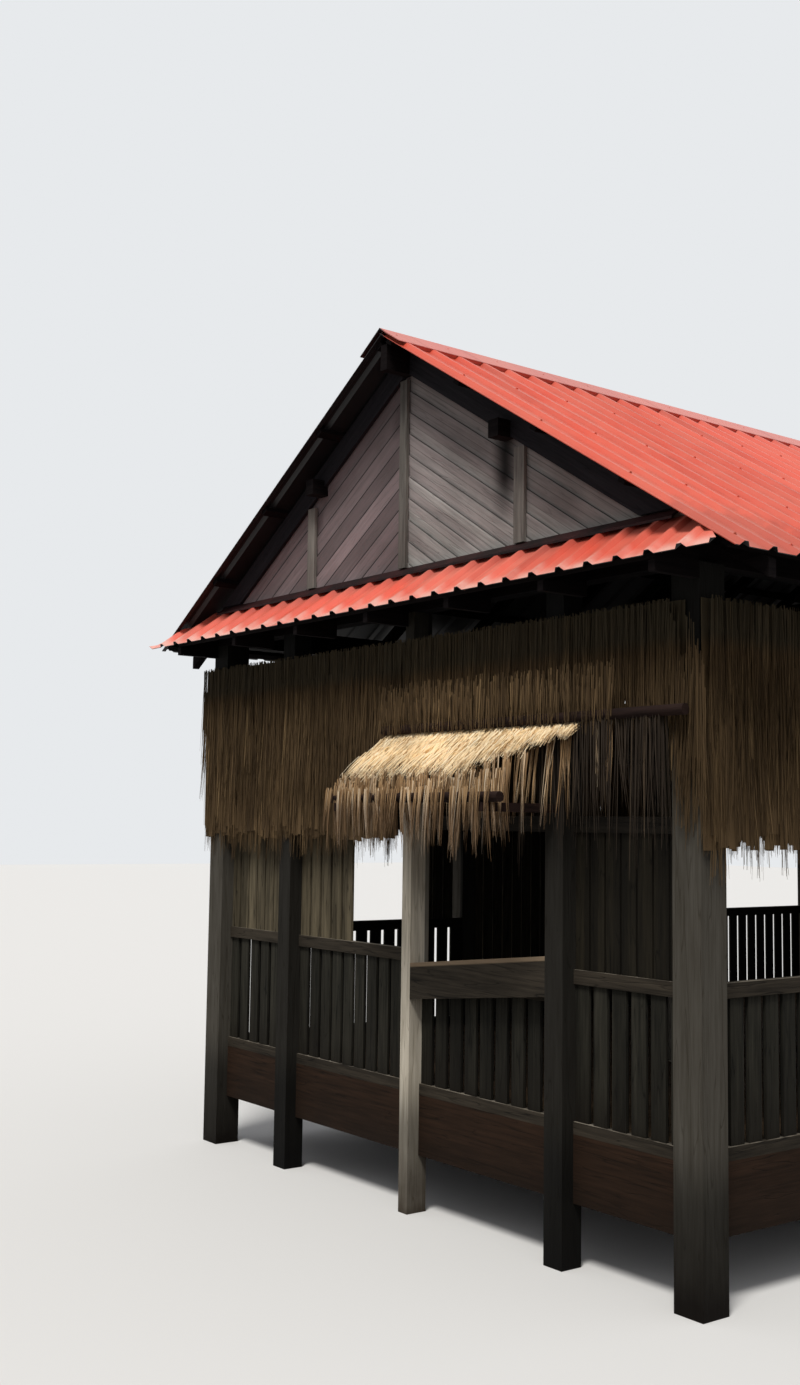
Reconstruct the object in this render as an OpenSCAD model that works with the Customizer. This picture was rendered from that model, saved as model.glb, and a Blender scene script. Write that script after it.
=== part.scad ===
// Stilt house with a ribbed metal gable roof, pent roofs under boarded gables, hanging
// grass walls, a grass awning and a slatted rail. The ridge runs along Y and the front
// gable faces -Y. Heights start at the ground. Inside the modules, y starts at the outer
// face of the front posts and x at the ridge line.

/* [Plan] */
// Width over the outer faces of the corner posts
house_w = 4400; // [4000:50:5200]
// Bays along each side
side_bays = 3; // [2:1:4]
// Length of one side bay, between post centres
bay_len = 2120; // [1800:20:2600]
// Side of a square corner post
corner_post = 170; // [120:5:200]
// Side of the other square posts
post = 130; // [100:5:150]
// Side of the slender centre post in the front wall
centre_post = 80; // [60:5:100]
// Distance of the centre post's middle from the ridge line
centre_post_x = 35; // [0:5:80]
// Distance of the window posts' middles from the ridge line
window_post_x = 1245; // [1100:5:1400]
// Side of a square post inside the house
inner_post = 110; // [90:5:130]

/* [Floor] */
// Top of the floor boards above the ground
floor_z = 640; // [500:10:1200]
// Thickness of the floor boards
floor_t = 25; // [18:1:40]
// Depth of a joist
joist_d = 100; // [80:5:140]
// Width of a joist
joist_w = 50; // [40:5:70]
// Joists on each side of the ridge line
joists = 5; // [3:1:5]
// Depth of a floor beam
floor_beam_d = 160; // [120:5:180]
// Width of a floor beam
floor_beam_w = 60; // [50:5:65]
// Depth of a skirt board under the floor's edge
skirt_d = 330; // [250:10:360]
// Thickness of a skirt board
skirt_t = 22; // [15:1:30]

/* [Roof] */
// Top of the roof sheet at the ridge
ridge_z = 4980; // [4700:10:5300]
// Top of the roof sheet at the eaves
eave_z = 3360; // [3300:5:3400]
// Reach of the roof past the side walls
eave_out = 400; // [300:10:500]
// Reach of the main roof past the gable walls
verge_out = 214; // [180:2:240]
// Pitch of the ribs in the sheet
rib_pitch = 190; // [150:5:250]
// Height of a rib
rib_h = 22; // [15:1:25]
// Width of a rib's flat top
rib_top = 26; // [20:1:40]
// Width of a rib at its foot
rib_foot = 64; // [50:1:80]
// Thickness of the sheet
sheet_t = 4; // [3:0.5:6]
// Width of one side of the ridge cap
cap_w = 190; // [120:5:250]
// Depth of the battens under the sheet
batten_d = 30; // [25:1:40]
// Width of a batten
batten_w = 50; // [40:1:60]
// Rows of battens on each slope
batten_rows = 5; // [4:1:6]
// Depth of a rafter
rafter_d = 70; // [60:1:80]
// Width of a rafter
rafter_w = 50; // [40:1:60]
// Rafter pairs between two rows of posts
rafters_per_bay = 3; // [2:1:4]
// Depth of the ridge beam
ridge_beam_d = 150; // [120:5:180]
// Width of the ridge beam
ridge_beam_w = 60; // [50:5:80]
// Distance of the purlins from the ridge line
purlin_x = 880; // [700:10:1100]
// Depth of a purlin
purlin_d = 95; // [80:5:130]
// Width of a purlin
purlin_w = 80; // [60:5:100]
// Reach of the purlin ends past the gable wall
purlin_out = 110; // [60:5:150]

/* [Pent roof] */
// Top of the pent roof's sheet at the gable wall
pent_top_z = 3600; // [3540:5:3640]
// Reach of the pent roofs past the gable walls
pent_out = 333; // [300:5:400]
// Brackets under each pent roof
pent_brackets = 7; // [5:1:9]
// Width of a bracket's timbers
bracket_w = 40; // [30:1:60]
// Depth of a bracket's timbers
bracket_d = 50; // [40:1:60]
// Reach of the strip over the joint between the gable boards and the pent roof
strip_w = 62; // [40:1:80]
// Thickness of that strip
strip_t = 12; // [8:1:20]

/* [Gable] */
// Thickness of the gable boards
gable_t = 26; // [20:1:32]
// Width of a gable board
gable_board_w = 108; // [100:1:160]
// Depth of the lap between two gable boards
gable_lap = 8; // [4:1:12]
// Width of the centre batten
centre_batten_w = 66; // [50:1:80]
// Distance of the centre batten's middle from the ridge line, towards the left
centre_batten_x = 30; // [0:1:30]
// Width of a side batten
side_batten_w = 80; // [40:1:90]
// How far a gable batten stands out from the boards
gable_batten_t = 20; // [15:1:30]
// Distance of the side battens from the ridge line
side_batten_x = 945; // [925:5:1100]
// Vertical depth of the trim boards along the gable's slopes, below the sheet's top
trim_drop = 218; // [180:2:260]
// Thickness of a trim board
trim_t = 24; // [18:1:30]

/* [Frame] */
// Depth of the wall plates and tie beams
plate_d = 150; // [120:5:180]
// Width of the wall plates and tie beams
plate_w = 110; // [80:5:120]
// Side of a king post
king_post = 90; // [70:5:120]

/* [Grass walls] */
// Top of the hanging grass
grass_top_z = 3180; // [3100:10:3220]
// Mean height of the grass ends above the ground
grass_end_z = 2060; // [1980:10:2140]
// Thickness of the grass at the lip of a course
grass_t = 70; // [50:1:90]
// How far a course's lip stands out over the next course
grass_lip = 26; // [15:1:35]
// Courses of grass from top to bottom
grass_courses = 3; // [2:1:5]
// Mean width of a tuft in the ragged edge
tuft_w = 110; // [80:5:200]
// How far the tufts differ in length
tuft_rag = 60; // [20:5:90]
// Radius of the poles behind the grass
grass_pole_r = 22; // [15:1:25]

/* [Awning] */
// Top of the awning's grass at the wall
awning_top_z = 2655; // [2600:5:2700]
// Reach of the awning past the front posts
awning_out = 520; // [420:10:600]
// Fall of the awning from the wall to its edge
awning_fall = 330; // [280:5:400]
// Thickness of the awning's grass
awning_t = 55; // [40:1:70]
// Mean height of the fringe's ends above the ground
fringe_end_z = 2030; // [1980:5:2100]
// Thickness of the fringe
fringe_t = 50; // [40:1:60]
// Radius of the awning's poles
awning_pole_r = 26; // [20:1:30]
// Side of the square arms that carry the awning
awning_arm = 44; // [35:1:50]

/* [Rails and boards] */
// Distance of the rails, boards and skirts behind the posts' outer faces
wall_inset = 75; // [50:5:80]
// Depth of the rail at the foot of the walls
foot_rail_d = 60; // [40:5:80]
// Thickness of the rails
rail_t = 50; // [35:1:60]
// Top of the window rails above the ground
window_rail_z = 1435; // [1400:5:1500]
// Depth of a window rail
window_rail_d = 70; // [50:5:90]
// Underside of the head rails above the ground
head_z = 2110; // [2080:10:2160]
// Depth of a head rail
head_d = 80; // [60:5:100]
// Depth of the board under the wide front window
sill_d = 200; // [150:5:220]
// Thickness of that board
sill_t = 38; // [25:1:45]
// Top of that board at the centre post
sill_left_z = 1368; // [1340:1:1440]
// Top of that board at the window post
sill_right_z = 1492; // [1400:1:1500]
// Width of a wall board
board_w = 92; // [70:1:120]
// Thickness of a wall board
board_t = 18; // [14:1:24]
// Smallest gap between the boards below the windows
slat_gap = 26; // [15:1:40]
// Smallest gap between the boards of a closed wall
plank_gap = 5; // [3:1:10]
// Width of the boarded part beside the narrow front window
front_panel_w = 550; // [400:10:700]
// Width of the boarded part beside each side window
side_panel_w = 390; // [290:10:700]
// Open gap between that part and the post
panel_gap = 80; // [20:5:150]

/* [Hidden] */

eps = 1;
// Joint left between two surfaces that lie against each other
seat_gap = 0.3;
post_facets = 24;

half_w = house_w / 2;
wall_len = side_bays * bay_len + corner_post;
row_y = [for (i = [0 : side_bays]) corner_post / 2 + i * bay_len];
origin_y = (wall_len + pent_out - (awning_out + fringe_t)) / 2;

// Roof planes: pitch, and the vertical depth of each layer under the sheet's top
eave_x = half_w + eave_out;
roof_pitch = atan((ridge_z - eave_z) / eave_x);
sheet_h = rib_h + sheet_t;
under_sheet = sheet_h / cos(roof_pitch);
under_batten = (sheet_h + batten_d) / cos(roof_pitch);
under_rafter = (sheet_h + batten_d + rafter_d) / cos(roof_pitch);
slope_len = eave_x / cos(roof_pitch);
function roof_z(x) = ridge_z - abs(x) * tan(roof_pitch);

plate_x = half_w - corner_post / 2;
rafter_seat = 20;
plate_top_z = roof_z(plate_x + plate_w / 2) - under_rafter + rafter_seat;
plate_z = plate_top_z - plate_d;

pent_pitch = atan((pent_top_z - eave_z) / pent_out);
pent_slope = pent_out / cos(pent_pitch);
function pent_z(out) = pent_top_z - out * tan(pent_pitch);
hip_x = (ridge_z - pent_top_z) / tan(roof_pitch);

joist_top_z = floor_z - floor_t;
beam_top_z = joist_top_z - joist_d;
beam_z = beam_top_z - floor_beam_d;
rail_foot_z = floor_z + foot_rail_d;

// The rail behind the tilted board stays below its lowest top corner
sill_drop = 40;
sill_rail_z = sill_left_z - sill_drop;
rail_y = [wall_inset, wall_inset + rail_t];
skirt_back = wall_inset + skirt_t;
// Distance of the wall boards' outer faces behind the rails' outer faces
board_in = 14;
board_y = wall_inset + board_in;

// The awning reaches a little past the posts on both sides of the wide window
awning_lap = 105;
awning_x0 = centre_post_x - awning_lap;
awning_x1 = window_post_x + awning_lap;
awning_pitch = atan(awning_fall / (awning_out - grass_t));
awning_under_z = awning_top_z - awning_t / cos(awning_pitch);
arm_x = [centre_post_x, window_post_x];

// Timbers and shared shapes

module placed() {
    translate([0, -origin_y, 0]) children();
}

module bar(x, y, z) {
    translate([x[0], y[0], z[0]]) cube([x[1] - x[0], y[1] - y[0], z[1] - z[0]]);
}

module both_sides() {
    children();
    mirror([1, 0, 0]) children();
}

module at_rear() {
    translate([0, wall_len, 0]) mirror([0, 1, 0]) children();
}

module both_ends() {
    children();
    at_rear() children();
}

// Draws a wall that is modelled along x, seen from outside, on the right side of the house
module on_right_side() {
    translate([half_w, 0, 0]) rotate([0, 0, 90]) children();
}

// Profile in x and z, stretched along y
module across(y0, y1) {
    translate([0, y1, 0]) rotate([90, 0, 0]) linear_extrude(y1 - y0) children();
}

// Profile in y and z, stretched along x
module along(x0, x1) {
    translate([x0, 0, 0]) rotate([90, 0, 90]) linear_extrude(x1 - x0) children();
}

// Lays a shape drawn on a level plane, falling towards +x, on the right slope
module on_slope(drop) {
    translate([0, 0, ridge_z - drop]) rotate([0, roof_pitch, 0]) children();
}

// Lays a shape that falls towards +x on the front pent roof, from the gable wall outwards
module on_pent() {
    translate([0, 0, pent_top_z]) rotate([0, 0, -90]) rotate([0, pent_pitch, 0]) children();
}

// Posts

module post_row(y, xs) {
    for (p = xs)
        translate([p[0] - p[1] / 2, y - p[1] / 2, 0]) cube([p[1], p[1], plate_z]);
}

corner_x = half_w - corner_post / 2;
side_x = half_w - post / 2;
end_posts = [
    [-corner_x, corner_post], [-window_post_x, post], [centre_post_x, centre_post],
    [window_post_x, post], [corner_x, corner_post]];
middle_row = [[-side_x, post], [0, inner_post], [side_x, post]];

// The posts of an end wall stand flush with its outer face, and the slender one is as deep as the rest
function post_depth(p) = max(p[1], post);
module end_wall_posts() {
    for (p = end_posts)
        bar([p[0] - p[1] / 2, p[0] + p[1] / 2], [0, post_depth(p)], [0, plate_z]);
}

module front_posts() color([0.34, 0.31, 0.27]) placed() end_wall_posts();

module rear_posts() color([0.34, 0.31, 0.27]) placed() at_rear() end_wall_posts();

module middle_posts() color([0.32, 0.28, 0.24]) placed()
    for (i = [1 : side_bays - 1]) post_row(row_y[i], middle_row);

// Spans between neighbouring posts in a row, as pairs of x
function spans(row) = [for (i = [0 : len(row) - 2])
    [row[i][0] + row[i][1] / 2, row[i + 1][0] - row[i + 1][1] / 2]];

// Spans between the posts of a side wall, as pairs of y
side_row = [for (i = [0 : side_bays]) [row_y[i], i == 0 || i == side_bays ? corner_post : post]];
side_spans = spans(side_row);
end_spans = spans(end_posts);

// Floor

module end_floor_beams() {
    for (s = end_spans) bar(s, [skirt_back, skirt_back + floor_beam_w], [beam_z, beam_top_z]);
}

module floor_beams() color([0.28, 0.23, 0.18]) placed() {
    both_ends() end_floor_beams();
    for (i = [1 : side_bays - 1])
        for (s = spans(middle_row))
            bar(s, [row_y[i] - floor_beam_w / 2, row_y[i] + floor_beam_w / 2], [beam_z, beam_top_z]);
    both_sides() for (s = side_spans)
        bar([half_w - skirt_back - floor_beam_w, half_w - skirt_back], s, [beam_z, beam_top_z]);
}

// Joists stand clear of every post
joist_pitch = (half_w - corner_post - joist_w) / (joists - 0.5);
module floor_joists() color([0.30, 0.25, 0.20]) placed()
    both_sides() for (i = [0 : joists - 1])
        translate([(i + 0.5) * joist_pitch - joist_w / 2, skirt_back, beam_top_z])
            cube([joist_w, wall_len - 2 * skirt_back, joist_d]);

module floor_boards() color([0.42, 0.34, 0.26]) placed() difference() {
    bar([-half_w + skirt_back, half_w - skirt_back], [skirt_back, wall_len - skirt_back],
        [joist_top_z, floor_z]);
    both_ends() for (p = end_posts)
        bar([p[0] - p[1] / 2 - eps, p[0] + p[1] / 2 + eps], [-eps, post_depth(p) + eps], [0, plate_z]);
    for (i = [1 : side_bays - 1])
        post_row(row_y[i], [for (p = middle_row) [p[0], p[1] + 2 * eps]]);
}

module skirt_boards() color([0.27, 0.21, 0.16]) placed() {
    both_ends() for (s = end_spans) bar(s, [wall_inset, skirt_back], [floor_z - skirt_d, floor_z]);
    both_sides() for (s = side_spans)
        bar([half_w - skirt_back, half_w - wall_inset], s, [floor_z - skirt_d, floor_z]);
}

// Roof frame

module side_plates() color([0.25, 0.20, 0.16]) placed()
    both_sides() bar([plate_x - plate_w / 2, plate_x + plate_w / 2], [0, wall_len], [plate_z, plate_top_z]);

module end_plates() color([0.25, 0.20, 0.16]) placed()
    both_ends() bar([-plate_x + plate_w / 2, plate_x - plate_w / 2], [0, plate_w], [plate_z, plate_top_z]);

module tie_beams() color([0.28, 0.23, 0.18]) placed()
    for (i = [1 : side_bays - 1])
        bar([-plate_x + plate_w / 2, plate_x - plate_w / 2],
            [row_y[i] - plate_w / 2, row_y[i] + plate_w / 2], [plate_z, plate_top_z]);

ridge_beam_top = roof_z(ridge_beam_w / 2) - under_batten;
ridge_beam_z = ridge_beam_top - ridge_beam_d;

module king_posts() color([0.30, 0.25, 0.20]) placed()
    for (y = [gable_t + king_post / 2, for (i = [1 : side_bays - 1]) row_y[i],
              wall_len - gable_t - king_post / 2])
        bar([-king_post / 2, king_post / 2], [y - king_post / 2, y + king_post / 2],
            [plate_top_z, ridge_beam_z]);

// The ridge beam and the battens stop a little short of the sheets' ends
verge_inset = 24;
module ridge_beam() color([0.27, 0.22, 0.17]) placed()
    bar([-ridge_beam_w / 2, ridge_beam_w / 2],
        [-verge_out + verge_inset, wall_len + verge_out - verge_inset], [ridge_beam_z, ridge_beam_top]);

purlin_top = roof_z(purlin_x + purlin_w / 2) - under_rafter + rafter_seat;

module purlins() color([0.24, 0.19, 0.15]) placed()
    both_sides() bar([purlin_x - purlin_w / 2, purlin_x + purlin_w / 2],
        [-purlin_out, wall_len + purlin_out], [purlin_top - purlin_d, purlin_top]);

// A rafter runs from the ridge beam to the eave and is notched over the purlin and the plate
rafter_inset = 30;
rafter_end = eave_x - rafter_inset;
module rafter_outline() {
    difference() {
        polygon([
            [ridge_beam_w / 2, roof_z(ridge_beam_w / 2) - under_batten],
            [rafter_end, roof_z(rafter_end) - under_batten],
            [rafter_end, roof_z(rafter_end) - under_rafter],
            [ridge_beam_w / 2, roof_z(ridge_beam_w / 2) - under_rafter]]);
        translate([plate_x - plate_w / 2, plate_top_z - plate_d]) square([plate_w, plate_d]);
        translate([purlin_x - purlin_w / 2, purlin_top - purlin_d]) square([purlin_w, purlin_d]);
    }
}

rafter_count = side_bays * rafters_per_bay;
rafter_step = (wall_len - 2 * gable_t - rafter_w) / rafter_count;
rafter_y = [for (i = [0 : rafter_count]) gable_t + rafter_w / 2 + i * rafter_step];

module rafters() color([0.29, 0.24, 0.19]) placed()
    for (y = rafter_y)
        both_sides() across(y - rafter_w / 2, y + rafter_w / 2) rafter_outline();

batten_start = 60;
batten_step = (slope_len - 2 * batten_w - batten_start) / (batten_rows - 1);
module roof_battens() color([0.31, 0.26, 0.20]) placed()
    both_sides() on_slope(0)
        for (i = [0 : batten_rows - 1])
            translate([batten_start + i * batten_step, -verge_out + verge_inset, -sheet_h - batten_d])
                cube([batten_w, wall_len + 2 * (verge_out - verge_inset), batten_d]);

// Roof sheets

// Outline of a ribbed sheet seen from its end, from u = 0 to u = width, with its top at v = 0
function rib_points(u, lift) = [
    [u - rib_foot / 2, lift - rib_h], [u - rib_top / 2, lift],
    [u + rib_top / 2, lift], [u + rib_foot / 2, lift - rib_h]];

module ribbed_outline(width) {
    ribs = floor((width - rib_foot) / rib_pitch);
    first = (width - ribs * rib_pitch) / 2;
    upper = [for (i = [0 : ribs]) each rib_points(first + i * rib_pitch, 0)];
    lower = [for (i = [ribs : -1 : 0]) let (p = rib_points(first + i * rib_pitch, -sheet_t))
        each [p[3], p[2], p[1], p[0]]];
    polygon(concat(
        [[0, -sheet_h], [0, -rib_h]], upper, [[width, -rib_h], [width, -sheet_h]], lower));
}

// A ribbed sheet whose ribs run along +x, with its top edge on the y axis
module ribbed_sheet(width, fall) {
    rotate([90, 0, 90]) linear_extrude(fall) ribbed_outline(width);
}

module main_slope() {
    on_slope(0) translate([seat_gap, -verge_out, 0])
        ribbed_sheet(wall_len + 2 * verge_out, slope_len - seat_gap);
}

module main_roof_right() color([0.86, 0.36, 0.30]) placed() main_slope();

module main_roof_left() color([0.86, 0.36, 0.30]) placed() mirror([1, 0, 0]) main_slope();

// The cap is a bent sheet that lies on the ribs of both slopes and passes their ends a little
cap_out = 10;
cap_outline = [
    [0, seat_gap], [cap_w, seat_gap - cap_w * tan(roof_pitch)],
    [cap_w, seat_gap + sheet_t - cap_w * tan(roof_pitch)], [0, seat_gap + 2 * sheet_t],
    [-cap_w, seat_gap + sheet_t - cap_w * tan(roof_pitch)], [-cap_w, seat_gap - cap_w * tan(roof_pitch)]];
module ridge_cap() color([0.80, 0.32, 0.27]) placed()
    translate([0, 0, ridge_z]) across(-verge_out - cap_out, wall_len + verge_out + cap_out)
        polygon(cap_outline);

// Pent roofs

// Solid under the main roof's sheets, which trims what passes below them
module under_main_roof(drop) {
    across(-pent_out - eave_out, wall_len + pent_out + eave_out) polygon([
        [0, ridge_z - drop], [eave_x + eave_out, roof_z(eave_x + eave_out) - drop],
        [eave_x + eave_out, 0], [-eave_x - eave_out, 0],
        [-eave_x - eave_out, roof_z(eave_x + eave_out) - drop]]);
}

pent_start = sheet_h * tan(pent_pitch) + seat_gap;
module pent_sheet() {
    intersection() {
        on_pent() translate([pent_start, -eave_x, 0]) ribbed_sheet(2 * eave_x, pent_slope - pent_start);
        under_main_roof(under_sheet + seat_gap);
    }
}

module front_pent_roof() color([0.92, 0.42, 0.35]) placed() pent_sheet();

module rear_pent_roof() color([0.92, 0.42, 0.35]) placed() at_rear() pent_sheet();

// A bracket is a wall cleat, a rafter under the sheet and a level arm
pent_under = (sheet_h + batten_d) / cos(pent_pitch);
bracket_inset = 40;
bracket_tip = pent_out - bracket_inset;
bracket_foot_z = pent_z(bracket_tip) - pent_under - bracket_d;
module bracket_outline() {
    polygon([
        [0, pent_z(0) - pent_under], [-bracket_tip, pent_z(bracket_tip) - pent_under],
        [-bracket_tip, bracket_foot_z], [0, bracket_foot_z]]);
}

bracket_step = (house_w - bracket_w) / (pent_brackets - 1);
pent_batten_at = [60, pent_slope - batten_w - 20];
module pent_frame() {
    for (i = [0 : pent_brackets - 1])
        along(-half_w + i * bracket_step, -half_w + i * bracket_step + bracket_w) bracket_outline();
    on_pent() for (d = pent_batten_at)
        translate([d, -half_w, -sheet_h - batten_d]) cube([batten_w, house_w, batten_d]);
}

module pent_brackets() color([0.22, 0.17, 0.13]) placed() both_ends() pent_frame();

// A strip covers the joint between the gable boards and the pent roof
strip_top_z = pent_z(0) + seat_gap + strip_t;
strip_outline = [
    [-seat_gap, strip_top_z], [-strip_w, pent_z(strip_w) + seat_gap + strip_t],
    [-strip_w, pent_z(strip_w) + seat_gap], [-seat_gap, pent_z(0) + seat_gap]];
strip_x = (ridge_z - under_batten - strip_top_z) / tan(roof_pitch);
module cover_strips() color([0.20, 0.14, 0.12]) placed()
    both_ends() along(-strip_x, strip_x) polygon(strip_outline);

// Gables

// The gable boards reach down behind the pent roof
gable_tuck = 60;
gable_z = pent_top_z - gable_tuck;
gable_top = ridge_z - under_batten - seat_gap;
gable_foot_x = (gable_top - gable_z) / tan(roof_pitch);

// Lapped boards seen from their ends: each board leans out over the one below it
function lap_points(i) = [
    [i * gable_board_w, 0], [(i + 1) * gable_board_w, gable_lap]];

// Half a gable, filled with boards that run parallel to its sloping edge
module half_gable() {
    rows = ceil(gable_top * cos(roof_pitch) / gable_board_w);
    difference() {
        intersection() {
            translate([0, 0, gable_top]) rotate([0, roof_pitch, 0]) translate([-gable_top, 0, 0])
                rotate([90, 90, 90]) linear_extrude(3 * gable_top)
                    polygon(concat([[0, gable_t], [rows * gable_board_w, gable_t]],
                        [for (i = [rows - 1 : -1 : 0]) each [lap_points(i)[1], lap_points(i)[0]]]));
            across(-eps, gable_t) polygon([[0, gable_z], [gable_foot_x, gable_z], [0, gable_top]]);
        }
        past_timbers();
    }
}

// The two halves meet behind the centre batten with a narrow joint
joint_x = 1.5;

// Places where a purlin and the ridge beam pass the gable boards, and the joint of the halves
module past_timbers() {
    past_purlin(-2 * eps, gable_t + eps);
    bar([-2 * eps, ridge_beam_w / 2 + eps], [-2 * eps, gable_t + eps],
        [ridge_beam_z - eps, gable_top + eps]);
    bar([-2 * eps, joint_x], [-2 * eps, gable_t + eps], [0, gable_top]);
}

module past_purlin(y0, y1)
    bar([purlin_x - purlin_w / 2 - eps, purlin_x + purlin_w / 2 + eps], [y0, y1],
        [purlin_top - purlin_d - eps, purlin_top + eps]);

module gable_boards() {
    both_sides() half_gable();
}

module front_gable_boards() color([0.44, 0.42, 0.40]) placed() gable_boards();

module rear_gable_boards() color([0.44, 0.42, 0.40]) placed() at_rear() gable_boards();

// Battens stand on the cover strip and end under the trim boards or the ridge beam
batten_foot_z = strip_top_z + seat_gap;
module gable_batten(x, top) bar(x, [-gable_batten_t, -seat_gap], [batten_foot_z, top]);

module gable_battens() color([0.36, 0.34, 0.32]) placed() both_ends() {
    far_x = centre_batten_x + centre_batten_w / 2;
    gable_batten([-far_x, centre_batten_w - far_x],
        min(ridge_beam_z, roof_z(far_x) - trim_drop) - seat_gap);
    both_sides() gable_batten([side_batten_x, side_batten_x + side_batten_w],
        roof_z(side_batten_x + side_batten_w) - trim_drop - seat_gap);
}

// Trim boards cover the upper ends of the gable boards along both slopes
trim_foot_z = batten_foot_z + seat_gap;
trim_x = ridge_beam_w / 2 + seat_gap;
function trim_at(z, drop) = (ridge_z - drop - z) / tan(roof_pitch);
module gable_trims() color([0.17, 0.12, 0.10]) placed() both_ends() both_sides() difference() {
    across(-trim_t, -seat_gap) polygon([
        [trim_x, roof_z(trim_x) - under_batten - seat_gap],
        [trim_at(trim_foot_z, under_batten + seat_gap), trim_foot_z],
        [trim_at(trim_foot_z, trim_drop), trim_foot_z],
        [trim_x, roof_z(trim_x) - trim_drop]]);
    past_purlin(-trim_t - eps, gable_t);
}

// Walls below the grass. Each wall is drawn along x and seen from outside, as on the front.

module row_of_boards(s, gap, z0, z1) {
    n = floor((s[1] - s[0] + gap) / (board_w + gap));
    step = (s[1] - s[0] - board_w) / max(1, n - 1);
    for (i = [0 : n - 1])
        translate([s[0] + i * step, board_y, z0]) cube([board_w, board_t, z1 - z0]);
}

module foot_rail(s) bar(s, rail_y, [floor_z, rail_foot_z]);

module window_rail(s, top) bar(s, rail_y, [top - window_rail_d, top]);

module head_rail(s) bar(s, rail_y, [head_z, head_z + head_d]);

module front_rails() color([0.38, 0.34, 0.29]) placed() {
    for (s = end_spans) {
        foot_rail(s);
        head_rail(s);
    }
    for (i = [0 : 3]) window_rail(end_spans[i], i == 2 ? sill_rail_z : window_rail_z);
    sill_board(end_spans[2]);
}

// The board under the wide window stands flush with the posts and has come out of level
module sill_board(s) {
    across(0, sill_t) polygon([
        [s[0], sill_left_z], [s[0], sill_left_z - sill_d],
        [s[1], sill_right_z - sill_d], [s[1], sill_right_z]]);
}

module front_slats() color([0.33, 0.29, 0.25]) placed()
    for (i = [0 : 3])
        row_of_boards(end_spans[i], slat_gap, rail_foot_z,
            (i == 2 ? sill_rail_z : window_rail_z) - window_rail_d);

module front_planks() color([0.42, 0.37, 0.32]) placed() {
    for (i = [0, 3]) row_of_boards(end_spans[i], plank_gap, window_rail_z, head_z);
    row_of_boards([end_spans[1][0], end_spans[1][0] + front_panel_w], plank_gap, window_rail_z, head_z);
}

window_bays = [for (i = [0 : side_bays - 1]) if (i % 2 == 0) side_spans[i]];
closed_bays = [for (i = [0 : side_bays - 1]) if (i % 2 == 1) side_spans[i]];

module side_rails() on_right_side() {
    for (s = side_spans) {
        foot_rail(s);
        head_rail(s);
    }
    for (s = window_bays) window_rail(s, window_rail_z);
}

module side_slats() on_right_side()
    for (s = window_bays) row_of_boards(s, slat_gap, rail_foot_z, window_rail_z - window_rail_d);

// A closed bay is boarded to the head rail, and a window bay only at the end near the middle
module side_planks() on_right_side() {
    for (s = closed_bays) row_of_boards(s, plank_gap, rail_foot_z, head_z);
    for (i = [0 : 2 : side_bays - 1]) {
        start = i == 0 ? side_spans[i][1] - panel_gap - side_panel_w : side_spans[i][0] + panel_gap;
        row_of_boards([start, start + side_panel_w], plank_gap, window_rail_z, head_z);
    }
}

module right_rails() color([0.36, 0.32, 0.27]) placed() side_rails();

module right_slats() color([0.33, 0.29, 0.25]) placed() side_slats();

module right_planks() color([0.40, 0.35, 0.30]) placed() side_planks();

module left_rails() color([0.36, 0.32, 0.27]) placed() mirror([1, 0, 0]) side_rails();

module left_slats() color([0.33, 0.29, 0.25]) placed() mirror([1, 0, 0]) side_slats();

module left_planks() color([0.40, 0.35, 0.30]) placed() mirror([1, 0, 0]) side_planks();

// The rear wall is boarded, with an open doorway between the centre post and a window post
door_span = end_spans[1];
module rear_rails() color([0.36, 0.32, 0.27]) placed() at_rear() {
    for (s = end_spans) head_rail(s);
    for (i = [0, 2, 3]) foot_rail(end_spans[i]);
}

module rear_planks() color([0.40, 0.35, 0.30]) placed() at_rear()
    for (i = [0, 2, 3]) row_of_boards(end_spans[i], plank_gap, rail_foot_z, head_z);

// Hanging grass

// A tuft's length differs from the mean by a share that looks random and never repeats
function tuft(i, seed) = tuft_rag * (0.6 * sin(97 * i + seed) + 0.4 * sin(211 * i + 3 * seed));

// Outline of the grass in x and z: level at the top and ragged at the bottom
module ragged_outline(x0, x1, top, end, seed) {
    n = ceil((x1 - x0) / tuft_w);
    step = (x1 - x0) / n;
    polygon(concat([[x1, top], [x0, top]],
        [for (i = [0 : n - 1]) each [
            [x0 + i * step, end + tuft_rag],
            [x0 + (i + 0.5) * step, end - tuft_rag / 2 + tuft(i, seed)]]],
        [[x1, end + tuft_rag]]));
}

// Courses in y and z: each one hangs over the next, and the wall side is flat
module course_outline() {
    fall = (grass_top_z - grass_end_z + 2 * tuft_rag) / grass_courses;
    polygon(concat([[0, grass_top_z]],
        [for (i = [0 : grass_courses - 1]) each [
            [-grass_t + grass_lip, grass_top_z - i * fall],
            [-grass_t, grass_top_z - (i + 1) * fall + grass_lip],
            [-grass_t + grass_lip, grass_top_z - (i + 1) * fall]]],
        [[0, grass_top_z - grass_courses * fall]]));
}

module grass_panel(x0, x1, end, seed) {
    intersection() {
        along(x0, x1) course_outline();
        across(-grass_t - eps, eps) ragged_outline(x0, x1, grass_top_z, end, seed);
    }
}

// The front grass leaves the awning and the opening beside it free, and a strip hangs on the corner post
grass_gap = 10;
strip_share = 0.7;
corner_strip_x = half_w - strip_share * corner_post;
front_end_x = awning_x0 - grass_gap;
over_awning_z = awning_top_z + 40;
// The strip ends higher than the rest, and the side grass lower
corner_end_rise = 60;
side_end_drop = 20;

module front_grass_left() color([0.45, 0.37, 0.25]) placed()
    translate([0, -seat_gap, 0]) grass_panel(-half_w - grass_t, front_end_x, grass_end_z, 20);

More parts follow.
